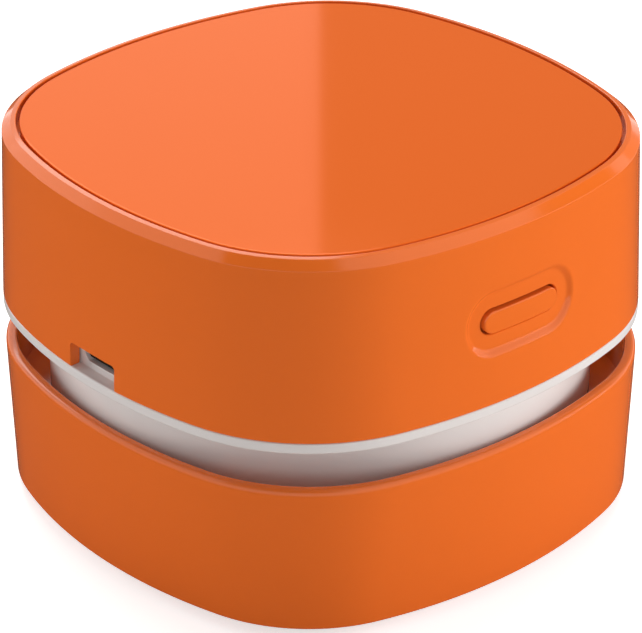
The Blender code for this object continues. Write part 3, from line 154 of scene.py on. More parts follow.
class HousingSizes(bpy.types.PropertyGroup):
    """Sizes of the motor housing, filter, fan and screws."""
    flange: length("Flange", "Thickness of the flange under the casing", 0.00153)
    flange_round: length("Flange rounding", "Rounding of the flange's edge", 0.0003)
    drum_wall: length("Drum wall", "Thickness of the drum", 0.0016)
    drum_radius: length("Drum radius", "Outer radius of the drum", (SEAL_HIGH.x - SEAL_LOW.x) / 2)
    collar_wall: length("Collar wall", "Thickness of the collar inside the casing", 0.0015)
    vent_count: number("Vents", "Exhaust slots in the drum's rear", 9)
    vent_width: length("Vent width", "Width of a slot", 0.0022)
    vent_height: length("Vent height", "Height of a slot", 0.0046)
    vent_margin: length("Vent margin", "Wall left above the slots", 0.0007)
    vent_pitch: angle("Vent pitch", "Angle from slot to slot", 13)
    vent_centre: angle("Vent centre", "Direction of the middle slot", 45)
    blades: number("Fan blades", "Blades of the fan", 9)
    blade_sweep: angle("Blade sweep", "How far a blade leans back", -52)
    blade_thickness: length("Blade thickness", "Thickness of a blade", 0.0009)
    screw_head: length("Screw head", "Radius of a screw's head", 0.0018)
    screw_head_height: length("Head height", "Height of a screw's head", 0.0009)
    cross_width: length("Cross width", "Width of the recess in a screw's head", 0.00042)


class FinishColours(bpy.types.PropertyGroup):
    """Colours of the finishes."""
    casing: colour("Casing", "Satin plastic of casing, button and bin", (0.80, 0.150, 0.018))
    panel: colour("Panel", "Gloss plastic of the top panel", (0.88, 0.150, 0.012))
    white: colour("White plastic", "Housing, filter frame and inlet plate", (0.90, 0.88, 0.87))
    dark: colour("Dark plastic", "Nozzle, cradle and switch", (0.022, 0.021, 0.022))
    rubber: colour("Rubber", "Feet and seal", (0.035, 0.034, 0.034))
    bristle: colour("Bristles", "Nylon bristles", (0.55, 0.52, 0.47))
    felt: colour("Filter pad", "Felt of the filter pad", (0.66, 0.66, 0.63))
    steel: colour("Steel", "Screws, shaft and motor can", (0.58, 0.58, 0.59))
    copper: colour("Bronze", "Bearings and commutator", (0.60, 0.34, 0.15))
    ferrite: colour("Ferrite", "Magnets", (0.055, 0.053, 0.052))
    board: colour("Board", "Circuit board", (0.016, 0.13, 0.05))
    cell: colour("Cell wrap", "Sleeve of the battery cell", (0.03, 0.13, 0.40))
    floor: colour("Floor", "Studio floor", (0.90, 0.90, 0.89))


class StudioSettings(bpy.types.PropertyGroup):
    """Camera and lamps."""
    azimuth: angle("Azimuth", "Camera angle round the object", -40.98)
    elevation: angle("Elevation", "Camera angle above the floor", 28.03)
    distance: length("Distance", "Camera distance from its target", 0.46809)
    target: length("Target height", "Height of the point that the camera looks at", 0.026495)
    lens: FloatProperty(name="Lens", description="Focal length in millimetres", default=181.36, min=10)
    key: FloatProperty(name="Key", description="Power of the lamp at the right", default=8.9, unit="POWER")
    fill: FloatProperty(name="Fill", description="Power of the lamp at the left", default=5.0, unit="POWER")
    top: FloatProperty(name="Top", description="Power of the lamp overhead", default=6.9, unit="POWER")
    front: FloatProperty(name="Front", description="Power of the low lamp in front", default=1.2,
                         unit="POWER")
    ambient: share("Ambient", "Brightness of the room", 0.34)


def settings(name):
    return getattr(bpy.context.scene, name)


# Finishes
class Shading:
    """A node tree that links its nodes as they are added."""

    def __init__(self, tree):
        self.tree = tree

    def add(self, kind, fields=None, **inputs):
        node = self.tree.nodes.new(kind)
        for field, value in (fields or {}).items():
            setattr(node, field, value)
        for name, value in inputs.items():
            self.feed(node, name.replace("_", " "), value)
        return node

    def feed(self, node, socket, value):
        target = node.inputs[int(socket)] if socket.isdigit() else node.inputs[socket]
        if isinstance(value, bpy.types.NodeSocket):
            self.tree.links.new(value, target)
        else:
            target.default_value = value


def maths(build, operation, first, second=None):
    node = build.add("ShaderNodeMath", {"operation": operation})
    build.feed(node, "0", first)
    if second is not None:
        build.feed(node, "1", second)
    return node.outputs["Value"]


def rgba(tone, lift=1.0):
    return (*[min(channel * lift, 1) for channel in tone], 1.0)


def blended(tree, share_of_second, first, second, blend="MIX"):
    """Colour made from two others."""
    node = tree.add("ShaderNodeMix", {"data_type": "RGBA", "blend_type": blend})
    for socket, value in (("0", share_of_second), ("6", first), ("7", second)):
        tree.feed(node, socket, value)
    return node.outputs[2]


def finish(name, tone, roughness, metallic=0.0, specular=0.5, grain=2600, depth=0.000012, mottle=0.03,
           mottle_scale=70, rough_swing=0.04, coat=0.0, pattern=None, sheen=0.0):
    """Principled finish with a fine grain, a faint mottle and a little change in its roughness."""
    found = bpy.data.materials.get(name)
    if found:
        return found
    material = bpy.data.materials.new(name)
    material.use_nodes = True
    tree = Shading(material.node_tree)
    shader = material.node_tree.nodes["Principled BSDF"]
    shader.inputs["Metallic"].default_value = metallic
    shader.inputs["Specular IOR Level"].default_value = specular
    shader.inputs["Coat Weight"].default_value = coat
    shader.inputs["Sheen Weight"].default_value = sheen
    shader.inputs["Sheen Roughness"].default_value = 0.5
    place = tree.add("ShaderNodeTexCoord").outputs["Object"]
    cloud = tree.add("ShaderNodeTexNoise", Vector=place, Scale=mottle_scale, Detail=3.0)
    base = blended(tree, cloud.outputs["Fac"], rgba(tone, 1 - mottle), rgba(tone, 1 + mottle))
    fine = tree.add("ShaderNodeTexNoise", Vector=place, Scale=grain, Detail=2.0)
    height = fine.outputs["Fac"]
    if pattern:
        base, height = pattern(tree, place, base, height)
    tree.feed(shader, "Base Color", base)
    swing = tree.add("ShaderNodeMapRange", Value=cloud.outputs["Fac"])
    swing.inputs["To Min"].default_value = max(roughness - rough_swing, 0)
    swing.inputs["To Max"].default_value = min(roughness + rough_swing, 1)
    tree.feed(shader, "Roughness", swing.outputs["Result"])
    bump = tree.add("ShaderNodeBump", Strength=1.0, Distance=depth, Height=height)
    tree.feed(shader, "Normal", bump.outputs["Normal"])
    return material


def felt_fibres(tree, place, base, height):
    """Crossed fibres of a pressed felt."""
    stretched = tree.add("ShaderNodeMapping", Vector=place, Scale=(1.0, 5.0, 1.0))
    across = tree.add("ShaderNodeTexNoise", Vector=stretched.outputs["Vector"], Scale=700.0, Detail=4.0)
    shades = tree.add("ShaderNodeValToRGB", Fac=across.outputs["Fac"])
    shades.color_ramp.elements[0].color = (0.62, 0.62, 0.62, 1)
    raised = maths(tree, "ADD", height, across.outputs["Fac"])
    return blended(tree, 0.5, base, shades.outputs["Color"], "MULTIPLY"), raised


def laminations(tree, place, base, height):
    """Stacked sheets, seen as thin dark lines one above the other."""
    bands = tree.add("ShaderNodeTexWave", {"bands_direction": "Z"}, Vector=place, Scale=330.0)
    return blended(tree, 0.55, base, bands.outputs["Color"], "MULTIPLY"), bands.outputs["Fac"]


def brushed(tree, place, base, height):
    """Fine turned lines round a metal piece."""
    stretched = tree.add("ShaderNodeMapping", Vector=place, Scale=(40.0, 40.0, 6000.0))
    lines = tree.add("ShaderNodeTexNoise", Vector=stretched.outputs["Vector"], Scale=1.0, Detail=2.0)
    return base, lines.outputs["Fac"]


def tracks(tree, place, base, height):
    """Copper tracks under the board's lacquer."""
    cells = tree.add("ShaderNodeTexVoronoi", {"distance": "CHEBYCHEV", "feature": "F1"}, Vector=place,
                     Scale=420.0)
    step = maths(tree, "GREATER_THAN", cells.outputs["Distance"], 0.52)
    return blended(tree, step, base, (0.05, 0.24, 0.09, 1)), step


def casing_plastic():
    return finish("casing_plastic", settings("vacuum_colours").casing, 0.12, specular=0.5, mottle=0.012,
                  grain=1500, depth=0.0000006, rough_swing=0.02)


def panel_plastic():
    return finish("panel_plastic", settings("vacuum_colours").panel, 0.06, metallic=0.20, specular=0.12,
                  mottle=0.006, grain=900, depth=0.0000002, rough_swing=0.01)


def white_plastic():
    return finish("white_plastic", settings("vacuum_colours").white, 0.42, mottle=0.012, depth=0.000005)


def dark_plastic():
    return finish("dark_plastic", settings("vacuum_colours").dark, 0.46, mottle=0.08)


def rubber():
    return finish("soft_rubber", settings("vacuum_colours").rubber, 0.78, specular=0.3, mottle=0.10,
                  depth=0.00002)


def steel():
    return finish("plated_steel", settings("vacuum_colours").steel, 0.28, metallic=1.0, pattern=brushed,
                  depth=0.000003)


# Mesh helpers
def mesh_object(name, bm, material, smooth_below=32):
    """Turn mesh data into an object at the origin, smooth apart from its sharp edges."""
    bmesh.ops.recalc_face_normals(bm, faces=bm.faces)
    mesh = bpy.data.meshes.new(name)
    bm.to_mesh(mesh)
    bm.free()
    item = bpy.data.objects.new(name, mesh)
    bpy.context.scene.collection.objects.link(item)
    shade(mesh, smooth_below)
    if material:
        mesh.materials.append(material)
    return item


def shade(mesh, smooth_below=32):
    mesh.shade_smooth()
    mesh.set_sharp_from_angle(angle=math.radians(smooth_below))


def bake(item, smooth_below=None):
    """Replace an object's mesh by what its modifiers make of it."""
    graph = bpy.context.evaluated_depsgraph_get()
    made = bpy.data.meshes.new_from_object(item.evaluated_get(graph), preserve_all_data_layers=True,
                                           depsgraph=graph)
    item.modifiers.clear()
    item.data = made
    made.name = item.name
    if smooth_below:
        shade(made, smooth_below)
    return item


def combine(item, tools, operation, smooth_below=32):
    """Apply one Boolean after the other and throw the tools away."""
    for tool in tools:
        step = item.modifiers.new(tool.name, "BOOLEAN")
        step.operation = operation
        step.solver = "EXACT"
        step.object = tool
    bake(item, smooth_below)
    for tool in tools:
        bpy.data.objects.remove(tool, do_unlink=True)


def join_meshes(name, items, material):
    """Put several meshes into one object and drop the rest."""
    bm = bmesh.new()
    for item in items:
        bm.from_mesh(item.data)
        bpy.data.objects.remove(item, do_unlink=True)
    return mesh_object(name, bm, material)


def settle(piece, body, slot, *nodes):
    """Say what a piece rides on and which solids it stands for; the slot argument is not used."""
    if not len(piece.data.polygons):
        raise RuntimeError(f"{piece.name} came out empty")
    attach(piece, body)
    if nodes:
        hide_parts(*nodes)


def polar(radius, turn):
    return radius * math.cos(turn), radius * math.sin(turn)


def eased(profile, steps=4, hold=0.00012):
    """Round the corners of a profile of (across, up, radius), with a point held close on each side."""
    points = []
    for here, (across, up, radius) in enumerate(profile):
        corner = Vector((across, up))
        if not radius:
            points.append(tuple(corner))
            continue
        before = Vector(profile[here - 1][:2]) - corner
        after = Vector(profile[(here + 1) % len(profile)][:2]) - corner
        half = before.angle(after) / 2
        reach = radius / math.tan(half)
        start, end = before.normalized(), after.normalized()
        centre = corner + (start + end).normalized() * radius / math.sin(half)
        if before.length > 2 * (reach + hold):
            points.append(tuple(corner + start * (reach + hold)))
        first, last = corner + start * reach - centre, corner + end * reach - centre
        sweep = first.angle_signed(last)
        for step in range(steps + 1):
            spoke = Matrix.Rotation(-sweep * step / steps, 2) @ first
            points.append(tuple(centre + spoke))
        if after.length > 2 * (reach + hold):
            points.append(tuple(corner + end * (reach + hold)))
    return points


def skin(name, rings, material, capped=True, closed=False, smooth_below=32):
    """Join rings of equal count; cap both ends, or close the last ring onto the first."""
    bm = bmesh.new()
    loops = [[bm.verts.new(point) for point in ring] for ring in rings]
    pairs = list(zip(loops, loops[1:]))
    if closed:
        pairs.append((loops[-1], loops[0]))
    count = len(loops[0])
    for lower, upper in pairs:
        for here in range(count):
            after = (here + 1) % count
            bm.faces.new((lower[here], lower[after], upper[after], upper[here]))
    if capped and not closed:
        bm.faces.new(loops[0])
        bm.faces.new(loops[-1])
    return mesh_object(name, bm, material, smooth_below)


def turned(name, profile, material, steps=96, x=0.0, y=0.0):
    """Turn a closed profile of (radius, height) about an upright axis; points on the axis are merged."""
    rings = [[Vector((x + radius * math.cos(2 * math.pi * step / steps),
                      y + radius * math.sin(2 * math.pi * step / steps), height))
              for step in range(steps)] for radius, height in profile]
    item = skin(name, rings, material, capped=False, closed=profile[0][0] > 0)
    bm = bmesh.new()
    bm.from_mesh(item.data)
    bmesh.ops.remove_doubles(bm, verts=bm.verts, dist=0.000001)
    bmesh.ops.recalc_face_normals(bm, faces=bm.faces)
    bm.to_mesh(item.data)
    bm.free()
    shade(item.data)
    return item


def rods(name, places, radius, low, high, steps=48):
    bm = bmesh.new()
    for x, y in places:
        bmesh.ops.create_cone(bm, cap_ends=True, segments=steps, radius1=radius, radius2=radius,
                              depth=high - low, matrix=Matrix.Translation((x, y, (low + high) / 2)))
    return mesh_object(name, bm, None)


def bar(name, turn, height, size):
    """Straight tool across the upright axis, turned about it."""
    bm = bmesh.new()
    place = Matrix.Rotation(turn, 4, "Z") @ Matrix.Translation((0, 0, height))
    bmesh.ops.create_cube(bm, size=1, matrix=place @ Matrix.Diagonal((*size, 1)))
    return mesh_object(name, bm, None)


def prism(name, outline, low, high):
    """Upright prism on an outline of (x, y) points."""
    rings = [[Vector((x, y, height)) for x, y in outline] for height in (low, high)]
    return skin(name, rings, None)


# Outline of the body
def outline_arcs(half, bow, corner):
    side = half - bow
    middle = (side + math.sqrt(2 * (bow - corner) ** 2 - side ** 2)) / 2
    return side, middle, math.atan2(middle, middle - side)


def even_columns(side_steps=26, corner_steps=22):
    """Places round the outline: quarter, whether on a side, and the share along its arc."""
    columns = []
    for quarter in range(4):
        columns += [(quarter, True, step / side_steps) for step in range(side_steps)]
        columns += [(quarter, False, step / corner_steps) for step in range(corner_steps)]
    return columns


def outline(half, bow, corner, inset, height, columns):
    """Points of the rounded square, moved in by inset, at a height."""
    side, middle, turn = outline_arcs(half, bow, corner)
    points = []
    for quarter, on_side, along in columns:
        if on_side:
            x, y = polar(bow - inset, turn * (2 * along - 1))
            point = Vector((side + x, y, 0))
        else:
            x, y = polar(corner - inset, turn + (math.pi / 2 - 2 * turn) * along)
            point = Vector((middle + x, middle + y, 0))
        point.rotate(Matrix.Rotation(quarter * math.pi / 2, 3, "Z"))
        points.append(Vector((point.x, point.y, height)))
    return points


def round_ring(ring, radius, height):
    """Circle whose points lie in the same directions as those of a ring."""
    return [Vector((*polar(radius, math.atan2(point.y, point.x)), height)) for point in ring]


CASING_HALF = (CASING_HIGH.x - CASING_LOW.x) / 2
CASING_RISE = CASING_HIGH.z - CASING_LOW.z
PANEL_INSET = CASING_HALF - (PANEL_HIGH.x - PANEL_LOW.x) / 2


def draft_at(height):
    return settings("vacuum_casing").draft * (height - CASING_LOW.z) / CASING_RISE


def casing_ring(inset, height, columns):
    sizes = settings("vacuum_casing")
    return outline(CASING_HALF, sizes.side_bow, sizes.corner, inset, height, columns)


def front_point(x, height, depth):
    """Point on the casing's bowed front, or at a depth behind it."""
    bow = settings("vacuum_casing").side_bow
    radius = bow - draft_at(height) - depth
    return Vector((x, bow - CASING_HALF - math.sqrt(radius ** 2 - x ** 2), height))


def pill_spans(wide, high, steps=14, bays=24):
    """Places along a pill outline with the half height there."""
    radius = high / 2
    straight = wide / 2 - radius
    spans = [(-straight - radius * math.cos(math.pi / 2 * step / steps),
              radius * math.sin(math.pi / 2 * step / steps)) for step in range(steps)]
    spans += [(straight * (2 * bay / bays - 1), radius) for bay in range(bays + 1)]
    return spans + [(-x, rise) for x, rise in reversed(spans[:steps])]


def front_pad(name, wide, high, levels, material=None):
    """Pill that follows the casing's front; each level has how far it grows and its depth."""
    bm = bmesh.new()
    rows = []
    for grow, depth in levels:
        spans = pill_spans(wide + 2 * grow, high + 2 * grow)
        low = [bm.verts.new(front_point(x, BUTTON_Z - rise, depth)) for x, rise in spans]
        top = [bm.verts.new(front_point(x, BUTTON_Z + rise, depth)) for x, rise in spans[1:-1]]
        rows.append((low, [low[0], *top, low[-1]]))
    for outer, inner in zip(rows, rows[1:]):
        for edge in (0, 1):
            for here in range(len(outer[edge]) - 1):
                after = here + 1
                bm.faces.new((outer[edge][here], outer[edge][after], inner[edge][after], inner[edge][here]))
    for low, top in (rows[0], rows[-1]):
        for here in range(len(low) - 1):
            bm.faces.new(list(dict.fromkeys((low[here], low[here + 1], top[here + 1], top[here]))))
    return mesh_object(name, bm, material)


# Geometry Nodes helpers
def node_group(name, inputs):
    """New geometry tree with named inputs; gives the tree, its builder and the input node."""
    tree = bpy.data.node_groups.new(name, "GeometryNodeTree")
    tree.interface.new_socket("Geometry", in_out="INPUT", socket_type="NodeSocketGeometry")
    for label, kind, value in inputs:
        socket = tree.interface.new_socket(label, in_out="INPUT", socket_type=f"NodeSocket{kind}")
        if value is not None:
            socket.default_value = value
    tree.interface.new_socket("Geometry", in_out="OUTPUT", socket_type="NodeSocketGeometry")
    build = Shading(tree)
    source = build.add("NodeGroupInput")
    return tree, build, source


def close_group(tree, build, geometry, material_socket):
    """End a tree in real geometry with its material."""
    real = build.add("GeometryNodeRealizeInstances", Geometry=geometry)
    dressed = build.add("GeometryNodeSetMaterial", Geometry=real.outputs["Geometry"],
                        Material=material_socket)
    sink = tree.nodes.new("NodeGroupOutput")
    tree.links.new(dressed.outputs["Geometry"], sink.inputs["Geometry"])


def on_circle(build, turn, radius, level):
    """Place at a turn, radius and level round the upright axis."""
    across = [maths(build, "MULTIPLY", maths(build, part, turn), radius) for part in ("COSINE", "SINE")]
    return build.add("ShaderNodeCombineXYZ", X=across[0], Y=across[1], Z=level).outputs["Vector"]


def grow_piece(name, tree, values, smooth_below=40):
    """Run a tree on an empty mesh, with its inputs set by identifier, and keep the plain mesh."""
    item = bpy.data.objects.new(name, bpy.data.meshes.new(name))
    bpy.context.scene.collection.objects.link(item)
    step = item.modifiers.new(name, "NODES")
    step.node_group = tree
    for socket in tree.interface.items_tree:
        if socket.in_out == "INPUT" and socket.name in values:
            step[socket.identifier] = values[socket.name]
    return bake(item, smooth_below)


def ring_of_slots(sizes, top):
    """Tree that sets rounded slot cutters round an arc."""
    tree, build, source = node_group("slots_on_an_arc", [
        ("Count", "Int", 9), ("Pitch", "Float", 0.2), ("Centre", "Float", 0.0), ("Radius", "Float", 0.04),
        ("Reach", "Float", 0.004), ("Width", "Float", 0.002), ("Height", "Float", 0.005),
        ("Level", "Float", 0.0), ("Material", "Material", None)])
    pick = source.outputs
    index = build.add("GeometryNodeInputIndex").outputs["Index"]
    last = maths(build, "SUBTRACT", pick["Count"], 1)
    offset = maths(build, "SUBTRACT", index, maths(build, "DIVIDE", last, 2))
    turn = maths(build, "ADD", pick["Centre"], maths(build, "MULTIPLY", offset, pick["Pitch"]))
    place = on_circle(build, turn, pick["Radius"], pick["Level"])
    points = build.add("GeometryNodePoints", Count=pick["Count"], Position=place)
    face = build.add("GeometryNodeCurvePrimitiveQuadrilateral", Width=pick["Height"], Height=pick["Width"])
    soft = build.add("GeometryNodeFilletCurve", {"mode": "POLY"}, Curve=face.outputs["Curve"], Count=6,
                     Radius=maths(build, "MULTIPLY", pick["Width"], 0.49))
    ends = [build.add("ShaderNodeCombineXYZ", X=maths(build, "MULTIPLY", pick["Reach"], part)).outputs[0]
            for part in (-0.5, 0.5)]
    path = build.add("GeometryNodeCurvePrimitiveLine", Start=ends[0], End=ends[1])
    body = build.add("GeometryNodeCurveToMesh", Curve=path.outputs["Curve"],
                     Profile_Curve=soft.outputs["Curve"], Fill_Caps=True)
    facing = build.add("ShaderNodeCombineXYZ", Z=turn)
    copies = build.add("GeometryNodeInstanceOnPoints", Points=points.outputs["Points"],
                       Instance=body.outputs["Mesh"], Rotation=facing.outputs["Vector"])
    close_group(tree, build, copies.outputs["Instances"], pick["Material"])
    return grow_piece("vent_cutters", tree, {
        "Count": sizes.vent_count, "Pitch": sizes.vent_pitch, "Centre": sizes.vent_centre,
        "Radius": sizes.drum_radius - sizes.drum_wall / 2, "Reach": 3 * sizes.drum_wall,
        "Width": sizes.vent_width, "Height": sizes.vent_height, "Level": top - sizes.vent_height / 2})


def brush_tree():
    """Tree that plants tapered bristles on arcs, with a fixed seed for their lean and length."""
    tree, build, source = node_group("bristle_arcs", [
        ("Along", "Int", 40), ("Across", "Int", 6), ("Strips", "Int", 4), ("Radius", "Float", 0.02),
        ("Width", "Float", 0.003), ("Sweep", "Float", 1.0), ("Root", "Float", 0.003),
        ("Tip", "Float", 0.0002), ("Thickness", "Float", 0.0001), ("Seed", "Int", 4),
        ("Material", "Material", None)])
    pick = source.outputs
    index = build.add("GeometryNodeInputIndex").outputs["Index"]
    per_strip = maths(build, "MULTIPLY", pick["Along"], pick["Across"])
    total = maths(build, "MULTIPLY", per_strip, pick["Strips"])
    strip = maths(build, "FLOOR", maths(build, "DIVIDE", index, per_strip))
    within = maths(build, "MODULO", index, per_strip)
    column = maths(build, "MODULO", within, pick["Along"])
    row = maths(build, "FLOOR", maths(build, "DIVIDE", within, pick["Along"]))
    stagger = maths(build, "MULTIPLY", maths(build, "MODULO", row, 2), 0.5)
    shifted = maths(build, "ADD", maths(build, "ADD", column, stagger), 0.25)
    along = maths(build, "DIVIDE", shifted, pick["Along"])
    across = maths(build, "DIVIDE", maths(build, "ADD", row, 0.5), pick["Across"])
    quarter = maths(build, "DIVIDE", 2 * math.pi, pick["Strips"])
    centre = maths(build, "MULTIPLY", maths(build, "ADD", strip, 0.5), quarter)
    aside = maths(build, "MULTIPLY", maths(build, "SUBTRACT", along, 0.5), pick["Sweep"])
    turn = maths(build, "ADD", centre, aside)
    radius = maths(build, "ADD", pick["Radius"],
                   maths(build, "MULTIPLY", maths(build, "SUBTRACT", across, 0.5), pick["Width"]))
    place = on_circle(build, turn, radius, pick["Root"])
    points = build.add("GeometryNodePoints", Count=total, Position=place)
    long = maths(build, "SUBTRACT", pick["Root"], pick["Tip"])
    point = maths(build, "MULTIPLY", pick["Thickness"], 0.5)
    strand = build.add("GeometryNodeMeshCone", Vertices=5, Radius_Top=point,
                       Radius_Bottom=pick["Thickness"], Depth=long)
    lean = build.add("FunctionNodeRandomValue", {"data_type": "FLOAT_VECTOR"}, Seed=pick["Seed"])
    lean.inputs["Min"].default_value = (math.pi - 0.10, -0.10, 0)
    lean.inputs["Max"].default_value = (math.pi + 0.10, 0.10, 3)
    cut = build.add("FunctionNodeRandomValue", {"data_type": "FLOAT"}, Seed=pick["Seed"])
    build.feed(cut, "2", 0.90)
    build.feed(cut, "3", 0.99)
    stretch = build.add("ShaderNodeCombineXYZ", X=1.0, Y=1.0, Z=cut.outputs[1])
    copies = build.add("GeometryNodeInstanceOnPoints", Points=points.outputs["Points"],
                       Instance=strand.outputs["Mesh"], Rotation=lean.outputs["Value"],
                       Scale=stretch.outputs["Vector"])
    close_group(tree, build, copies.outputs["Instances"], pick["Material"])
    return tree


# Operators
class VACUUM_OT_bin(bpy.types.Operator):
    """Moulded dust bin with a rounded rim, a filter shelf and seats in its floor"""
    bl_idname = "vacuum.dust_bin"
    bl_label = "Dust bin"

    def execute(self, context):
        sizes = settings("vacuum_bin")
        gap = settings("vacuum_casing").gap
        low, high = BIN_LOW.z, BIN_HIGH.z
        half = (BIN_HIGH.x - BIN_LOW.x) / 2
        columns = even_columns()
        shelf_top = high - sizes.shelf_depth

        def ring(inset, height):
            rise = (height - low) / (high - low)
            return outline(half - sizes.base_step * (1 - rise),
                           sizes.base_bow + (sizes.rim_bow - sizes.base_bow) * rise,
                           sizes.base_corner + (sizes.rim_corner - sizes.base_corner) * rise,
                           inset, height, columns)

        profile = eased([
            (2 * sizes.wall, low, 0), (0, low, sizes.base_round), (0, high - 0.00014, sizes.rim_round),
            (sizes.wall, high, 0.00022), (sizes.wall, shelf_top, 0.0004)], steps=6)
        rings = [ring(inset, height) for inset, height in profile]
        shelf_hole = FILTER_HIGH.x - FILTER_LIP + gap

        rings += [round_ring(rings[0], shelf_hole, shelf_top),
                  round_ring(rings[0], shelf_hole, shelf_top - sizes.shelf),
                  ring(sizes.wall, shelf_top - sizes.shelf), ring(sizes.wall, low + sizes.floor + 0.001),
                  ring(sizes.wall + 0.001, low + sizes.floor)]
        shell = skin("dust_bin_shell", rings, casing_plastic())
        nozzle = (NOZZLE_HIGH.x - NOZZLE_LOW.x) / 2
        seat = rods("nozzle_seat", [(0, 0)], nozzle + gap, low - OVER, low + NOZZLE_LIP + gap, steps=96)
        throat = rods("throat_hole", [(0, 0)], THROAT_RADIUS + gap, low - OVER, low + sizes.floor + OVER,
                      steps=96)
        sockets = rods("foot_sockets", foot_places(), sizes.foot_radius + gap, low - OVER,
                       low + sizes.foot_socket + gap)
        grooves = []
        reach = sizes.brush_sweep / 2 + gap / sizes.brush_radius
        for quarter in range(4):
            middle = math.pi / 4 + quarter * math.pi / 2
            grooves.append(prism(f"groove_{quarter}", arc_band(sizes, middle, reach, gap), low - OVER,
                                 low + sizes.brush_sink + sizes.brush_backing + gap))
        combine(shell, [seat, throat, sockets, *grooves], "DIFFERENCE")
        settle(shell, "dust_bin", "orange_satin", "bin_shell")
        return {"FINISHED"}


def arc_band(sizes, middle, reach, grow, steps=28):
    """Outline of one brush strip, grown by a margin, with rounded ends."""
    inner = sizes.brush_radius - sizes.brush_width / 2 - grow
    outer = sizes.brush_radius + sizes.brush_width / 2 + grow
    turns = [middle + reach * (2 * step / steps - 1) for step in range(steps + 1)]
    return [polar(outer, turn) for turn in turns] + [polar(inner, turn) for turn in reversed(turns)]


def foot_places():
    low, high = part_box("foot_1")
    place = abs(low.x + high.x) / 2
    return [(side * place, end * place) for side in (-1, 1) for end in (-1, 1)]


class VACUUM_OT_nozzle(bpy.types.Operator):
    """Suction nozzle with a rounded mouth, and the four glide feet"""
    bl_idname = "vacuum.nozzle_and_feet"
    bl_label = "Nozzle and feet"

    def execute(self, context):
        sizes = settings("vacuum_bin")
        low, high = NOZZLE_LOW.z, NOZZLE_HIGH.z
        rim = (NOZZLE_HIGH.x - NOZZLE_LOW.x) / 2
        profile = eased([
            (MOUTH_RADIUS, high, 0.0005), (THROAT_RADIUS, high, 0.0005),
            (THROAT_RADIUS, low + NOZZLE_LIP, 0.0003), (rim, low + NOZZLE_LIP, 0.0002),
            (rim, low, 0.00025), (0.0116, low, 0.0003), (MOUTH_RADIUS, low + 0.0016, 0.0006)], steps=5)
        nozzle = turned("suction_mouth", profile, dark_plastic(), steps=128)
        settle(nozzle, "dust_bin", "dark_plastic", "suction_nozzle")
        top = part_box("foot_1")[1].z
        shape = eased([(0, top, 0), (sizes.foot_radius, top, 0.0002), (sizes.foot_radius, 0, 0.0006),
                       (0, 0, 0)], steps=5)
        feet = [turned(f"foot_pad_{index}", shape, rubber(), steps=48, x=x, y=y)
                for index, (x, y) in enumerate(foot_places())]
        merged = join_meshes("glide_feet", feet, rubber())
        settle(merged, "dust_bin", "soft_rubber", "foot_1", "foot_2", "foot_3", "foot_4")
        return {"FINISHED"}


class VACUUM_OT_brushes(bpy.types.Operator):
    """Four brush strips: a backing each, and nylon bristles planted by a node tree"""
    bl_idname = "vacuum.brushes"
    bl_label = "Brush strips"

    def execute(self, context):
        sizes = settings("vacuum_bin")
        under = BIN_LOW.z + sizes.brush_sink
        tone = finish("nylon_bristle", settings("vacuum_colours").bristle, 0.5, specular=0.4, mottle=0.10,
                      mottle_scale=500)
        backings = []
        for quarter in range(4):
            middle = math.pi / 4 + quarter * math.pi / 2
            backings.append(prism(f"backing_{quarter}", arc_band(sizes, middle, sizes.brush_sweep / 2, 0),
                                  under, under + sizes.brush_backing))
        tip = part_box("brush_strip_1")[0].z
        strands = grow_piece("strands", brush_tree(), {
            "Along": sizes.tufts_along, "Across": sizes.tufts_across, "Radius": sizes.brush_radius,
            "Width": sizes.brush_width * 0.82, "Sweep": sizes.brush_sweep * 0.97,
            "Root": under + 0.0001, "Tip": tip, "Thickness": sizes.bristle_radius, "Seed": 4})
        brushes = join_meshes("brush_arcs", [*backings, strands], tone)
        settle(brushes, "dust_bin", "nylon_bristle", "brush_strip_1", "brush_strip_2", "brush_strip_3",
               "brush_strip_4")
        return {"FINISHED"}


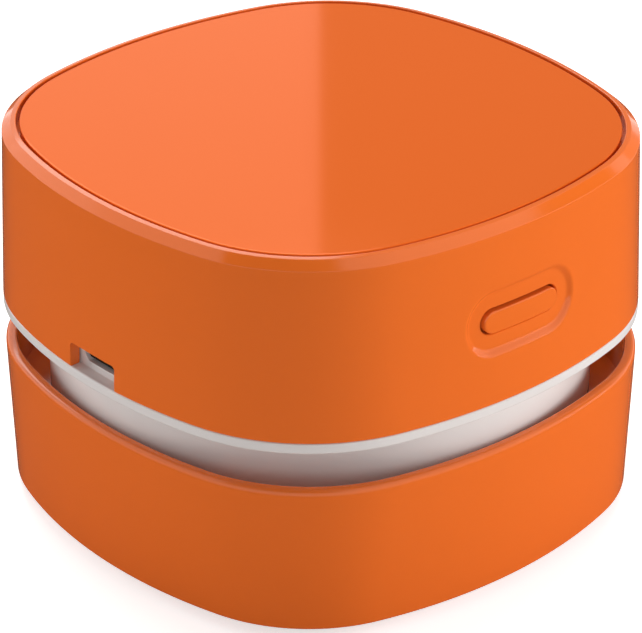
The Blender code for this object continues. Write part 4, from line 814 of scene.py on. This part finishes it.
class VACUUM_OT_filter(bpy.types.Operator):
    """Filter basket, its felt pad and the seal ring"""
    bl_idname = "vacuum.filter_and_seal"
    bl_label = "Filter and seal"

    def execute(self, context):
        frame_radius = (FILTER_HIGH.x - FILTER_LOW.x) / 2
        neck = frame_radius - FILTER_LIP
        low, high = FILTER_LOW.z, FILTER_HIGH.z
        seat = high - 0.0010
        ledge = low + 0.0010
        profile = eased([
            (neck - FILTER_WALL, high, 0.0002), (frame_radius, high, 0.0002), (frame_radius, seat, 0.0002),
            (neck, seat, 0.0001), (neck, low, 0.0003), (neck - FILTER_LEDGE, low, 0.0002),
            (neck - FILTER_LEDGE, ledge, 0.0002), (neck - FILTER_WALL, ledge, 0.0001)], steps=3)
        basket = turned("filter_basket", profile, white_plastic(), steps=128)
        spokes = []
        for index in range(3):
            spokes.append(bar(f"spoke_{index}", math.pi * index / 3, (low + ledge) / 2,
                              (2 * neck - FILTER_LEDGE, 0.0014, 0.0008)))
        hub = rods("hub", [(0, 0)], 0.0032, low, ledge)
        combine(basket, [*spokes, hub], "UNION")
        settle(basket, "dust_bin", "white_plastic", "filter_frame")
        felt = finish("filter_felt", settings("vacuum_colours").felt, 0.92, specular=0.1, mottle=0.05,
                      depth=0.00006, pattern=felt_fibres, sheen=0.4)
        pad_radius = (PAD_HIGH.x - PAD_LOW.x) / 2
        thick = PAD_HIGH.z - PAD_LOW.z
        rings = eased([
            (0, PAD_HIGH.z, 0), (pad_radius * 0.5, PAD_HIGH.z - 0.02 * thick, 0),
            (pad_radius, PAD_HIGH.z - 0.1 * thick, 0.0006), (pad_radius, PAD_LOW.z, 0.0004),
            (0, PAD_LOW.z, 0)], steps=6)
        pad = turned("filter_felt_pad", rings, felt, steps=128)
        settle(pad, "dust_bin", "filter_felt", "filter_pad")
        outer = (SEAL_HIGH.x - SEAL_LOW.x) / 2
        inner = outer - SEAL_WIDTH
        low, high = SEAL_LOW.z, SEAL_HIGH.z
        middle = (inner + outer) / 2
        lip = eased([
            (inner, low, 0.0002), (inner, high, 0.00035), (middle - 0.0004, high, 0.0001),
            (middle, high - 0.0003, 0.0001), (middle + 0.0004, high, 0.0001), (outer, high, 0.00035),
            (outer, low, 0.0002)], steps=3)
        seal = turned("seal_lip", lip, rubber(), steps=128)
        settle(seal, "dust_bin", "soft_rubber", "seal_ring")
        return {"FINISHED"}


class VACUUM_OT_casing(bpy.types.Operator):
    """Upper casing with its chamfered rim, dished button recess and charging notch"""
    bl_idname = "vacuum.casing"
    bl_label = "Upper casing"

    def execute(self, context):
        sizes = settings("vacuum_casing")
        low, high = CASING_LOW.z - sizes.foot_drop, CASING_HIGH.z
        columns = casing_columns(sizes)
        web = PANEL_LOW.z - sizes.gap
        rim = sizes.chamfer
        inner_edge = PANEL_INSET - sizes.rim_gap - draft_at(high)
        profile = eased([
            (sizes.wall, web - 0.0015, 0), (sizes.wall, low, 0.0002), (0, low, sizes.foot_round),
            (0, high - sizes.chamfer, sizes.chamfer_round), (rim, high - sizes.rim_fall, sizes.chamfer_round),
            (inner_edge, high, 0.00012), (inner_edge, web, 0)], steps=4)
        rows = with_recess_rows(profile, sizes)
        rings = [casing_ring(inset + draft_at(height), height, columns) for inset, height in rows]
        dish(rings, rows, sizes)
        casing = skin("casing_skin", rings, casing_plastic())
        lining = sizes.recess_depth + sizes.wall
        backing = front_pad("recess_backing", sizes.recess_length, sizes.recess_height,
                            [(0.0008, 0.0012), (0.0008, lining)])
        bosses = rods("bosses", casing_screw_places(), BOSS_RADIUS, CASING_LOW.z, web - 0.0008, steps=32)
        combine(casing, [backing, bosses], "UNION")
        edge = sizes.recess_depth
        hole = front_pad("button_hole", sizes.button_length, sizes.button_height, [
            (sizes.gap + 0.0009, edge - 0.0008), (sizes.gap + 0.00012, edge), (sizes.gap, edge + 0.00014),
            (sizes.gap, lining + OVER)])
        bores = rods("bores", casing_screw_places(), SCREW_CORE, low - OVER, CASING_LOW.z + 0.010, steps=24)
        combine(casing, [hole, bores, notch_cutter(sizes)], "DIFFERENCE")
        settle(casing, "motor_unit", "orange_satin", "upper_casing")
        return {"FINISHED"}


def casing_screw_places():
    low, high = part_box("casing_screw_1")
    x, y = abs(low.x + high.x) / 2, abs(low.y + high.y) / 2
    return [(side * x, end * y) for side in (-1, 1) for end in (-1, 1)]


def casing_columns(sizes, pitch=0.00017):
    """Outline places that lie close together across the button recess."""
    turn = outline_arcs(CASING_HALF, sizes.side_bow, sizes.corner)[2]
    columns = even_columns()
    reach = sizes.recess_length / 2 + 3 * pitch
    steps = round(2 * reach / pitch)
    close = [(math.asin((2 * step / steps - 1) * reach / sizes.side_bow) / turn + 1) / 2
             for step in range(steps + 1)]
    first = close[0]
    coarse = [first * step / 8 for step in range(8)]
    shares = coarse + close + [1 - part for part in reversed(coarse[1:])]
    front = [(3, True, part) for part in shares]
    corner = [place for place in columns if place[0] == 3 and not place[1]]
    return [place for place in columns if place[0] < 3] + front + corner


def with_recess_rows(profile, sizes, pitch=0.00017):
    """Add rows to the outer side of the casing, close together across the recess."""
    longest = max(range(len(profile) - 1), key=lambda here: profile[here + 1][1] - profile[here][1])
    foot, head = profile[longest][1], profile[longest + 1][1]
    reach = sizes.recess_height / 2 + 3 * pitch
    steps = round(2 * reach / pitch)
    heights = [foot + (BUTTON_Z - reach - foot) * step / 5 for step in range(1, 5)]
    heights += [BUTTON_Z + reach * (2 * step / steps - 1) for step in range(steps + 1)]
    heights += [BUTTON_Z + reach + (head - BUTTON_Z - reach) * step / 6 for step in range(1, 6)]
    return profile[:longest + 1] + [(0, height) for height in heights] + profile[longest + 1:]


def dish(rings, rows, sizes):
    """Press the recess into the front, with a rounded lip and a rounded foot to its slope."""
    radius = sizes.recess_height / 2
    straight = sizes.recess_length / 2 - radius
    for ring, (inset, height) in zip(rings, rows):
        if inset != 0 or abs(height - BUTTON_Z) > radius:
            continue
        for here, point in enumerate(ring):
            if point.y > 0 or abs(point.x) > sizes.recess_length / 2:
                continue
            away = math.hypot(max(abs(point.x) - straight, 0), height - BUTTON_Z)
            run = (radius - away) / sizes.recess_border
            if run > 0:
                run = min(run, 1)
                depth = run - 0.25 * math.sin(2 * math.pi * run) / math.pi
                ring[here] = front_point(point.x, height, sizes.recess_depth * depth)


def notch_cutter(sizes):
    """Cutter for the charging notch, a little wider at its mouth so that its edge is broken."""
    base = CASING_LOW.z

    def shape(grow, x):
        left = sizes.notch_middle - sizes.notch_width / 2 - grow
        right = sizes.notch_middle + sizes.notch_width / 2 + grow
        top = base + sizes.notch_height + grow
        corner = sizes.notch_corner + grow
        points = [(left, base - OVER), (right, base - OVER)]
        for y, start in ((right - corner, 0), (left + corner, math.pi / 2)):
            for step in range(9):
                across, up = polar(corner, start + math.pi / 2 * step / 8)
                points.append((y + across, top - corner + up))
        return [Vector((x, y, z)) for y, z in points]

    outside = -CASING_HALF
    rings = [shape(0.0008, outside - 0.0006), shape(0.00018, outside + 0.00004),
             shape(0, outside + 0.00022), shape(0, outside + sizes.wall + OVER)]
    return skin("notch", rings, None)


class VACUUM_OT_panel(bpy.types.Operator):
    """Gloss panel set in the casing's rim"""
    bl_idname = "vacuum.panel"
    bl_label = "Top panel"

    def execute(self, context):
        sizes = settings("vacuum_casing")
        inset = PANEL_INSET
        columns = even_columns()
        reach = PANEL_HIGH.z - PANEL_LOW.z
        profile = eased([(inset + 0.004, PANEL_LOW.z, 0), (inset, PANEL_LOW.z, 0.0002),
                         (inset, PANEL_HIGH.z, sizes.panel_round), (inset + 0.004, PANEL_HIGH.z, 0)], steps=5)
        rings = [casing_ring(across, height, columns) for across, height in profile]
        panel = skin("gloss_panel", rings, panel_plastic())
        settle(panel, "motor_unit", "orange_gloss", "top_panel")
        return {"FINISHED"}


class VACUUM_OT_button(bpy.types.Operator):
    """Pill button with a crowned face, a lip behind the wall and a stem"""
    bl_idname = "vacuum.button"
    bl_label = "Power button"

    def execute(self, context):
        sizes = settings("vacuum_casing")
        face = sizes.recess_depth - sizes.button_proud
        lip = sizes.recess_depth + sizes.wall + sizes.gap
        crown = sizes.button_crown
        drop = 0.00018
        levels = [(-crown - 0.0006, face)]
        for step in range(7):
            turn = math.pi / 2 * step / 6
            levels.append((-crown + crown * math.sin(turn), face + drop * (1 - math.cos(turn))))
        levels += [(0, face + drop + 0.00012), (0, lip), (BUTTON_LIP, lip), (BUTTON_LIP, lip + 0.0008)]
        button = front_pad("pill_button", sizes.button_length, sizes.button_height, levels, casing_plastic())
        back = front_point(0, BUTTON_Z, lip + 0.0008).y
        stem = rods("stem", [(0, 0)], 0.0016, 0, BUTTON_HIGH.y - back + 0.0004, steps=32)
        for vert in stem.data.vertices:
            vert.co = (vert.co.x, BUTTON_HIGH.y - vert.co.z, BUTTON_Z + vert.co.y)
        combine(button, [stem], "UNION")
        settle(button, "power_button", "orange_satin", "power_button")
        return {"FINISHED"}


class VACUUM_OT_housing(bpy.types.Operator):
    """White motor housing: flange, drum with exhaust slots, and collar"""
    bl_idname = "vacuum.housing"
    bl_label = "Motor housing"

    def execute(self, context):
        sizes = settings("vacuum_housing")
        casing = settings("vacuum_casing")
        columns = even_columns()
        flange_top = CASING_LOW.z - casing.foot_drop - 0.00003
        flange_low = flange_top - sizes.flange
        foot, head = HOUSING_LOW.z, HOUSING_HIGH.z
        collar = casing.wall + casing.gap
        drum = sizes.drum_radius
        inner = drum - sizes.drum_wall
        collar_in = collar + sizes.collar_wall
        outer = eased([
            (collar_in, flange_top, 0.0003), (collar_in, head, 0.0002),
            (collar + draft_at(head), head, 0.0002), (collar, flange_top, 0.0001),
            (0, flange_top, sizes.flange_round), (0, flange_low, sizes.flange_round),
            (0.004, flange_low, 0)], steps=4)[1:-1]
        rings = [casing_ring(inset, height, columns) for inset, height in outer]

        low_part = eased([
            (drum + 0.002, flange_low, 0), (drum, flange_low, 0.0004), (drum, foot, 0.0003),
            (inner, foot, 0.0003), (inner, flange_low, 0.0004), (inner - 0.002, flange_low, 0)],
            steps=4)[1:-1]
        rings += [round_ring(rings[0], radius, height) for radius, height in low_part]
        housing = skin("housing_skin", rings, white_plastic())
        rooted = flange_low + sizes.flange / 2
        pad_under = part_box("motor_screw_1")[0].z
        gap = casing.gap
        inlet = screw_places("inlet_screw", 4)
        motor = screw_places("motor_screw", 2)
        posts = screw_places("board_screw", 2)
        board_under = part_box("circuit_board")[0].z
        combine(housing, [
            rods("motor_pad", [(0, 0)], 0.0125, pad_under, rooted, steps=64),
            rods("inlet_bosses", inlet, BOSS_RADIUS, INLET_HIGH.z + gap, rooted, steps=32),
            rods("board_posts", posts, 0.0019, rooted, board_under - gap, steps=32)], "UNION")
        above = flange_top + OVER
        head_hole = 0.0021
        slots = ring_of_slots(sizes, flange_low - sizes.vent_margin)
        port_low, port_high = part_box("charging_socket")
        combine(housing, [
            rods("nose_hole", [(0, 0)], 0.0035, pad_under - OVER, above),
            rods("motor_holes", motor, SCREW_CORE, pad_under - OVER, above, steps=24),
            rods("motor_sinks", motor, head_hole, pad_under - OVER, pad_under + 0.0012, steps=32),
            rods("casing_holes", casing_screw_places(), SCREW_CORE, flange_low - OVER, above, steps=24),
            rods("casing_sinks", casing_screw_places(), head_hole, flange_low - OVER, flange_low + 0.00045,
                 steps=32),
            rods("inlet_bores", inlet, SCREW_CORE, INLET_HIGH.z, INLET_HIGH.z + 0.006, steps=24),
            rods("board_bores", posts, SCREW_CORE, board_under - 0.0028, board_under + OVER, steps=24),
            port_cutter(port_low - Vector((0, 0, 0.0004)), port_high, gap, -CASING_HALF,
                        -CASING_HALF + collar_in + OVER),
            slots], "DIFFERENCE")
        settle(housing, "motor_unit", "white_plastic", "motor_housing")
        return {"FINISHED"}


def screw_places(name, count):
    places = []
    for index in range(1, count + 1):
        low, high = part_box(f"{name}_{index}")
        places.append(((low.x + high.x) / 2, (low.y + high.y) / 2))
    return places


def port_cutter(low, high, grow, start, end):
    """Prism along X with the charging socket's outline, its lower corners cut."""
    left, right, base, top = low.y - grow, high.y + grow, low.z - grow, high.z + grow
    cut, tip = 0.0008, 0.0003
    shape = [(left + cut, base), (right - cut, base), (right, base + cut), (right, top - tip),
             (right - tip, top), (left + tip, top), (left, top - tip), (left, base + cut)]
    return skin("port", [[Vector((x, y, z)) for y, z in shape] for x in (start, end)], None)


class VACUUM_OT_fan(bpy.types.Operator):
    """Fan wheel whose swept blades are set round the hub by a node tree"""
    bl_idname = "vacuum.fan"
    bl_label = "Fan wheel"

    def execute(self, context):
        sizes = settings("vacuum_housing")
        radius = (FAN_HIGH.x - FAN_LOW.x) / 2
        low, high = FAN_LOW.z, FAN_HIGH.z
        under = high - 0.0009
        wheel = turned("fan_wheel", eased([
            (SHAFT_BORE, high, 0), (radius, high, 0.0002), (radius, under, 0.0002), (0.0042, under, 0.0008),
            (HUB_RADIUS, low + 0.0014, 0.0003), (SHAFT_BORE, low + 0.0014, 0)], steps=3), None, steps=128)
        blade = blade_mesh(sizes, radius, low, under + 0.0004)
        tree, build, source = node_group("blades_round_a_hub", [
            ("Blade", "Object", None), ("Count", "Int", 9), ("Material", "Material", None)])
        pick = source.outputs
        shape = build.add("GeometryNodeObjectInfo", Object=pick["Blade"])
        index = build.add("GeometryNodeInputIndex").outputs["Index"]
        turn = maths(build, "MULTIPLY", index, maths(build, "DIVIDE", 2 * math.pi, pick["Count"]))
        facing = build.add("ShaderNodeCombineXYZ", Z=turn)
        points = build.add("GeometryNodePoints", Count=pick["Count"])
        copies = build.add("GeometryNodeInstanceOnPoints", Points=points.outputs["Points"],
                           Instance=shape.outputs["Geometry"], Rotation=facing.outputs["Vector"])
        close_group(tree, build, copies.outputs["Instances"], pick["Material"])
        blades = grow_piece("blade_set", tree, {"Blade": blade, "Count": sizes.blades})
        bpy.data.objects.remove(blade, do_unlink=True)
        eye_top = low + 0.0042
        eye = turned("eye", [(0, eye_top), (0.0080, eye_top), (0.0130, low - OVER), (0, low - OVER)], None,
                     steps=64)
        combine(blades, [eye], "DIFFERENCE")
        fan = join_meshes("fan_wheel_bladed", [wheel, blades], white_plastic())
        settle(fan, "rotor", "white_plastic", "impeller")
        return {"FINISHED"}


def blade_mesh(sizes, radius, low, high):
    """One swept blade as an upright wall."""
    inner, outer, steps = 0.0075, radius - 0.0004, 14
    spine = [Vector(polar(inner + (outer - inner) * step / steps, sizes.blade_sweep * step / steps))
             for step in range(steps + 1)]
    left, right = [], []
    for here, point in enumerate(spine):
        ahead = spine[min(here + 1, steps)] - spine[max(here - 1, 0)]
        across = Vector((-ahead.y, ahead.x)).normalized() * sizes.blade_thickness / 2
        left.append(tuple(point + across))
        right.append(tuple(point - across))
    return prism("blade", left + right[::-1], low, high)


class VACUUM_OT_screws(bpy.types.Operator):
    """All twelve screws, each a crowned head with a cross recess, set by a node tree"""
    bl_idname = "vacuum.screws"
    bl_label = "Screws"

    def execute(self, context):
        sizes = settings("vacuum_housing")
        template = self.template(sizes)
        tree, build, source = node_group("screws_in_place", [
            ("Screw", "Object", None), ("Material", "Material", None)])
        pick = source.outputs
        shape = build.add("GeometryNodeObjectInfo", Object=pick["Screw"])
        stretch = build.add("GeometryNodeInputNamedAttribute", {"data_type": "FLOAT_VECTOR"}, Name="turn")
        copies = build.add("GeometryNodeInstanceOnPoints", Points=pick["Geometry"],
                           Instance=shape.outputs["Geometry"], Rotation=stretch.outputs["Attribute"])
        close_group(tree, build, copies.outputs["Instances"], pick["Material"])
        names, places, turns = [], [], []
        for family, count, head_down in (("casing_screw", 4, True), ("inlet_screw", 4, True),
                                         ("motor_screw", 2, True), ("board_screw", 2, False)):
            for index in range(1, count + 1):
                low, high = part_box(f"{family}_{index}")
                names.append(f"{family}_{index}")
                places.append(((low.x + high.x) / 2, (low.y + high.y) / 2, low.z if head_down else high.z))
                turns.append((0 if head_down else math.pi, 0, 0.6 * len(turns)))
        seeds = bpy.data.meshes.new("screw_set")
        seeds.from_pydata(places, [], [])
        turn = seeds.attributes.new("turn", "FLOAT_VECTOR", "POINT")
        for index, value in enumerate(turns):
            turn.data[index].vector = value
        item = bpy.data.objects.new("screw_set", seeds)
        bpy.context.scene.collection.objects.link(item)
        step = item.modifiers.new("screws", "NODES")
        step.node_group = tree
        for socket in tree.interface.items_tree:
            if socket.name == "Screw":
                step[socket.identifier] = template
            if socket.name == "Material":
                step[socket.identifier] = steel()
        bake(item, 32)
        bpy.data.objects.remove(template, do_unlink=True)
        settle(item, "motor_unit", "plated_steel", *names)
        return {"FINISHED"}

    def template(self, sizes):
        """One screw standing on its head."""
        radius, head = sizes.screw_head, sizes.screw_head_height
        shank, length = 0.0008, 0.0040
        profile = [(0, length)] + eased([
            (0, length, 0), (shank * 0.5, length, 0.0001), (shank, length - 0.0006, 0.0001),
            (shank, head, 0.0001), (radius, head, 0.0001), (radius - 0.00025, 0, 0.0005), (0, 0, 0)], steps=4)
        screw = turned("screw", profile, None, steps=40)
        bars = []
        for turn in (0, math.pi / 2):
            bars.append(bar(f"bar_{turn:.0f}", turn, 0, (radius * 1.2, sizes.cross_width, head * 1.1)))
        combine(screw, bars, "DIFFERENCE")
        return screw


class VACUUM_OT_inside(bpy.types.Operator):
    """Finishes on the pieces inside that keep their solid shape"""
    bl_idname = "vacuum.inside"
    bl_label = "Inside pieces"

    def execute(self, context):
        tones = settings("vacuum_colours")
        bronze = finish("bronze", tones.copper, 0.33, metallic=1.0, pattern=brushed, depth=0.000003)
        ferrite = finish("ferrite", tones.ferrite, 0.6, specular=0.4, mottle=0.2, mottle_scale=900)
        board = finish("board_green", tones.board, 0.35, mottle=0.05, pattern=tracks, depth=0.00001)
        wrap = finish("cell_wrap", tones.cell, 0.30, mottle=0.03, coat=0.3)
        core = finish("laminated_core", tones.steel, 0.42, metallic=1.0, pattern=laminations, depth=0.00002)
        dark = dark_plastic()
        # The charging socket gets a near-black, barely glossy finish, darker than the dark plastic: the
        # socket's own black plus painted shade for the inside of the port's mouth.
        socket = finish("socket_black", (0.005, 0.005, 0.005), 0.6, specular=0.1, mottle=0.2)
        dressing = {
            "inlet_plate": white_plastic(), "motor_can": steel(), "motor_end_cap": dark,
            "bearing_front": bronze, "bearing_rear": bronze, "magnet_1": ferrite, "magnet_2": ferrite,
            "motor_shaft": steel(), "armature": core, "commutator": bronze, "battery_cell": wrap,
            "battery_cradle": dark, "circuit_board": board, "charge_chip": dark,
            "charging_socket": socket, "switch_body": dark, "switch_plunger": white_plastic(),
        }
        for name, material in dressing.items():
            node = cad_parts[name]
            for place in node.material_slots:
                place.material = material
        return {"FINISHED"}


class VACUUM_OT_stage(bpy.types.Operator):
    """Floor, lamps, room and camera"""
    bl_idname = "vacuum.stage"
    bl_label = "Studio"

    def execute(self, context):
        studio = settings("vacuum_studio")
        self.floor()
        self.lamp("key", studio.key, (0.82, -0.66, 0.24), 0.55)
        self.lamp("fill", studio.fill, (-0.47, 0.91, 0.24), 0.60)
        self.lamp("front", studio.front, (-0.59, -0.68, 0.24), 0.40)
        self.lamp("top", studio.top, (0.25, 0.35, 1.0), 0.70)
        self.card("panel_flag", 0.30, (0.70, 0.40, 0.50), (0.80, 0.80), (-1, 0, 0))
        self.card("panel_card", 1.02, (0.70, -0.40, 0.50), (0.80, 0.80), (-1, 0, 0))
        self.card("rim_card", 3.2, (0.52, -0.57, 0.51), (1.20, 0.29), (-0.71, 0, -0.70))
        self.card("edge_flag", 0.0, (0.16, 0.0, 1.00), (0.70, 0.70), (0, 0, -1))
        self.card("front_flag", 0.0, (-0.36, -0.17, 0.85), (0.80, 0.40), (0.36, 0.17, -0.85))
        self.card("right_flag", 0.0, (0.29, 0.79, 0.53), (0.30, 0.40), (-0.29, -0.79, -0.53))
        self.card("left_card", 1.3, (0.40, -0.80, 0.45), (0.62, 0.45), (-0.40, 0.80, -0.45))
        self.card("table_flag", 0.06, (0, 0, 0.0006), (0.90, 0.90), (0, 0, 1))
        self.room(studio.ambient)
        self.camera(studio)
        context.scene.view_settings.view_transform = "Standard"
        return {"FINISHED"}

    def floor(self):
        bm = bmesh.new()
        bmesh.ops.create_grid(bm, x_segments=8, y_segments=8, size=2.5)
        material = bpy.data.materials.new("studio_floor")
        material.use_nodes = True
        tree = Shading(material.node_tree)
        shader = material.node_tree.nodes["Principled BSDF"]
        shader.inputs["Roughness"].default_value = 0.9
        shader.inputs["Specular IOR Level"].default_value = 0.0
        shader.inputs["Base Color"].default_value = rgba(settings("vacuum_colours").floor)
        glow = seen_directly(tree)
        tree.feed(shader, "Emission Color", (1, 1, 1, 1))
        tree.feed(shader, "Emission Strength", maths(tree, "MULTIPLY", glow, 0.60))
        plane = mesh_object("studio_floor", bm, material)

    def card(self, name, strength, place, size, facing):
        """Plain card that only reflections see; its place is given as away, right and up of the view."""
        turn = -settings("vacuum_studio").azimuth
        away = Vector((math.sin(turn), math.cos(turn), 0))
        right = Vector((math.cos(turn), -math.sin(turn), 0))
        frame_of_view = Matrix((away, right, (0, 0, 1))).transposed()
        centre = frame_of_view @ Vector(place)
        look = (frame_of_view @ Vector(facing)).to_track_quat("Z", "Y").to_matrix()
        bm = bmesh.new()
        stretch = Matrix.Diagonal((size[0] / 2, size[1] / 2, 1, 1))
        shape = Matrix.Translation(centre) @ look.to_4x4() @ stretch
        bmesh.ops.create_grid(bm, x_segments=2, y_segments=2, size=1, matrix=shape)
        material = bpy.data.materials.new(name)
        material.use_nodes = True
        shader = material.node_tree.nodes["Principled BSDF"]
        shader.inputs["Base Color"].default_value = (0, 0, 0, 1)
        shader.inputs["Specular IOR Level"].default_value = 0.0
        shader.inputs["Emission Color"].default_value = (1, 1, 1, 1)
        shader.inputs["Emission Strength"].default_value = strength
        plane = mesh_object(name, bm, material)
        plane.visible_camera = plane.visible_diffuse = plane.visible_shadow = False
        plane.visible_transmission = plane.visible_volume_scatter = False

    def lamp(self, name, power, place, size):
        data = bpy.data.lights.new(name, "AREA")
        data.shape = "DISK"
        data.size = size
        data.energy = power
        lamp = bpy.data.objects.new(name, data)
        lamp.location = place
        lamp.visible_glossy = False
        aim = Vector((0, 0, 0.03)) - Vector(place)
        lamp.rotation_mode = "QUATERNION"
        lamp.rotation_quaternion = aim.to_track_quat("-Z", "Y")
        bpy.context.scene.collection.objects.link(lamp)

    def room(self, ambient):
        world = bpy.data.worlds.new("studio_room")
        world.use_nodes = True
        bpy.context.scene.world = world
        tree = Shading(world.node_tree)
        back = world.node_tree.nodes["Background"]
        glow = seen_directly(tree)
        span = tree.add("ShaderNodeMapRange", Value=glow)
        span.inputs["To Min"].default_value = ambient
        tree.feed(back, "Color", (1, 1, 1, 1))
        tree.feed(back, "Strength", span.outputs["Result"])

    def camera(self, studio):
        data = bpy.data.cameras.new("camera")
        data.lens = studio.lens
        data.sensor_width = 36
        data.shift_x = 0.0015
        data.clip_start = 0.01
        camera = bpy.data.objects.new("camera", data)
        turn, rise = studio.azimuth, studio.elevation
        back = Vector((math.sin(turn) * math.cos(rise), -math.cos(turn) * math.cos(rise), math.sin(rise)))
        camera.location = Vector((0, 0, studio.target)) + back * studio.distance
        camera.rotation_mode = "QUATERNION"
        camera.rotation_quaternion = (-back).to_track_quat("-Z", "Y")
        bpy.context.scene.collection.objects.link(camera)
        bpy.context.scene.camera = camera


def seen_directly(tree):
    """One for camera, glossy and transmission rays, and nought for light that bounces."""
    path = tree.add("ShaderNodeLightPath").outputs
    both = maths(tree, "MAXIMUM", path["Is Camera Ray"], path["Is Glossy Ray"])
    return maths(tree, "MAXIMUM", both, path["Is Transmission Ray"])


class VACUUM_PT_panel(bpy.types.Panel):
    """Buttons and settings in the sidebar"""
    bl_idname = "VACUUM_PT_panel"
    bl_label = "Desktop vacuum"
    bl_space_type = "VIEW_3D"
    bl_region_type = "UI"
    bl_category = "Vacuum"

    def draw(self, context):
        for operator in OPERATORS:
            self.layout.operator(operator.bl_idname)
        for group in GROUPS:
            box = self.layout.box()
            values = getattr(context.scene, group)
            for name in values.__annotations__:
                box.prop(values, name)


GROUPS = {
    "vacuum_casing": CasingSizes, "vacuum_bin": BinSizes, "vacuum_housing": HousingSizes,
    "vacuum_colours": FinishColours, "vacuum_studio": StudioSettings,
}
OPERATORS = (
    VACUUM_OT_bin, VACUUM_OT_nozzle, VACUUM_OT_brushes, VACUUM_OT_filter, VACUUM_OT_casing,
    VACUUM_OT_panel, VACUUM_OT_button, VACUUM_OT_housing, VACUUM_OT_fan, VACUUM_OT_screws,
    VACUUM_OT_inside, VACUUM_OT_stage,
)


def register():
    for group, kind in GROUPS.items():
        bpy.utils.register_class(kind)
        setattr(bpy.types.Scene, group, PointerProperty(type=kind))
    for kind in (*OPERATORS, VACUUM_PT_panel):
        bpy.utils.register_class(kind)


def unregister():
    for kind in reversed((*OPERATORS, VACUUM_PT_panel)):
        bpy.utils.unregister_class(kind)
    for group, kind in GROUPS.items():
        delattr(bpy.types.Scene, group)
        bpy.utils.unregister_class(kind)


def main():
    register()
    for operator in OPERATORS:
        family, name = operator.bl_idname.split(".")
        getattr(getattr(bpy.ops, family), name)()


if __name__ == "__main__":
    main()
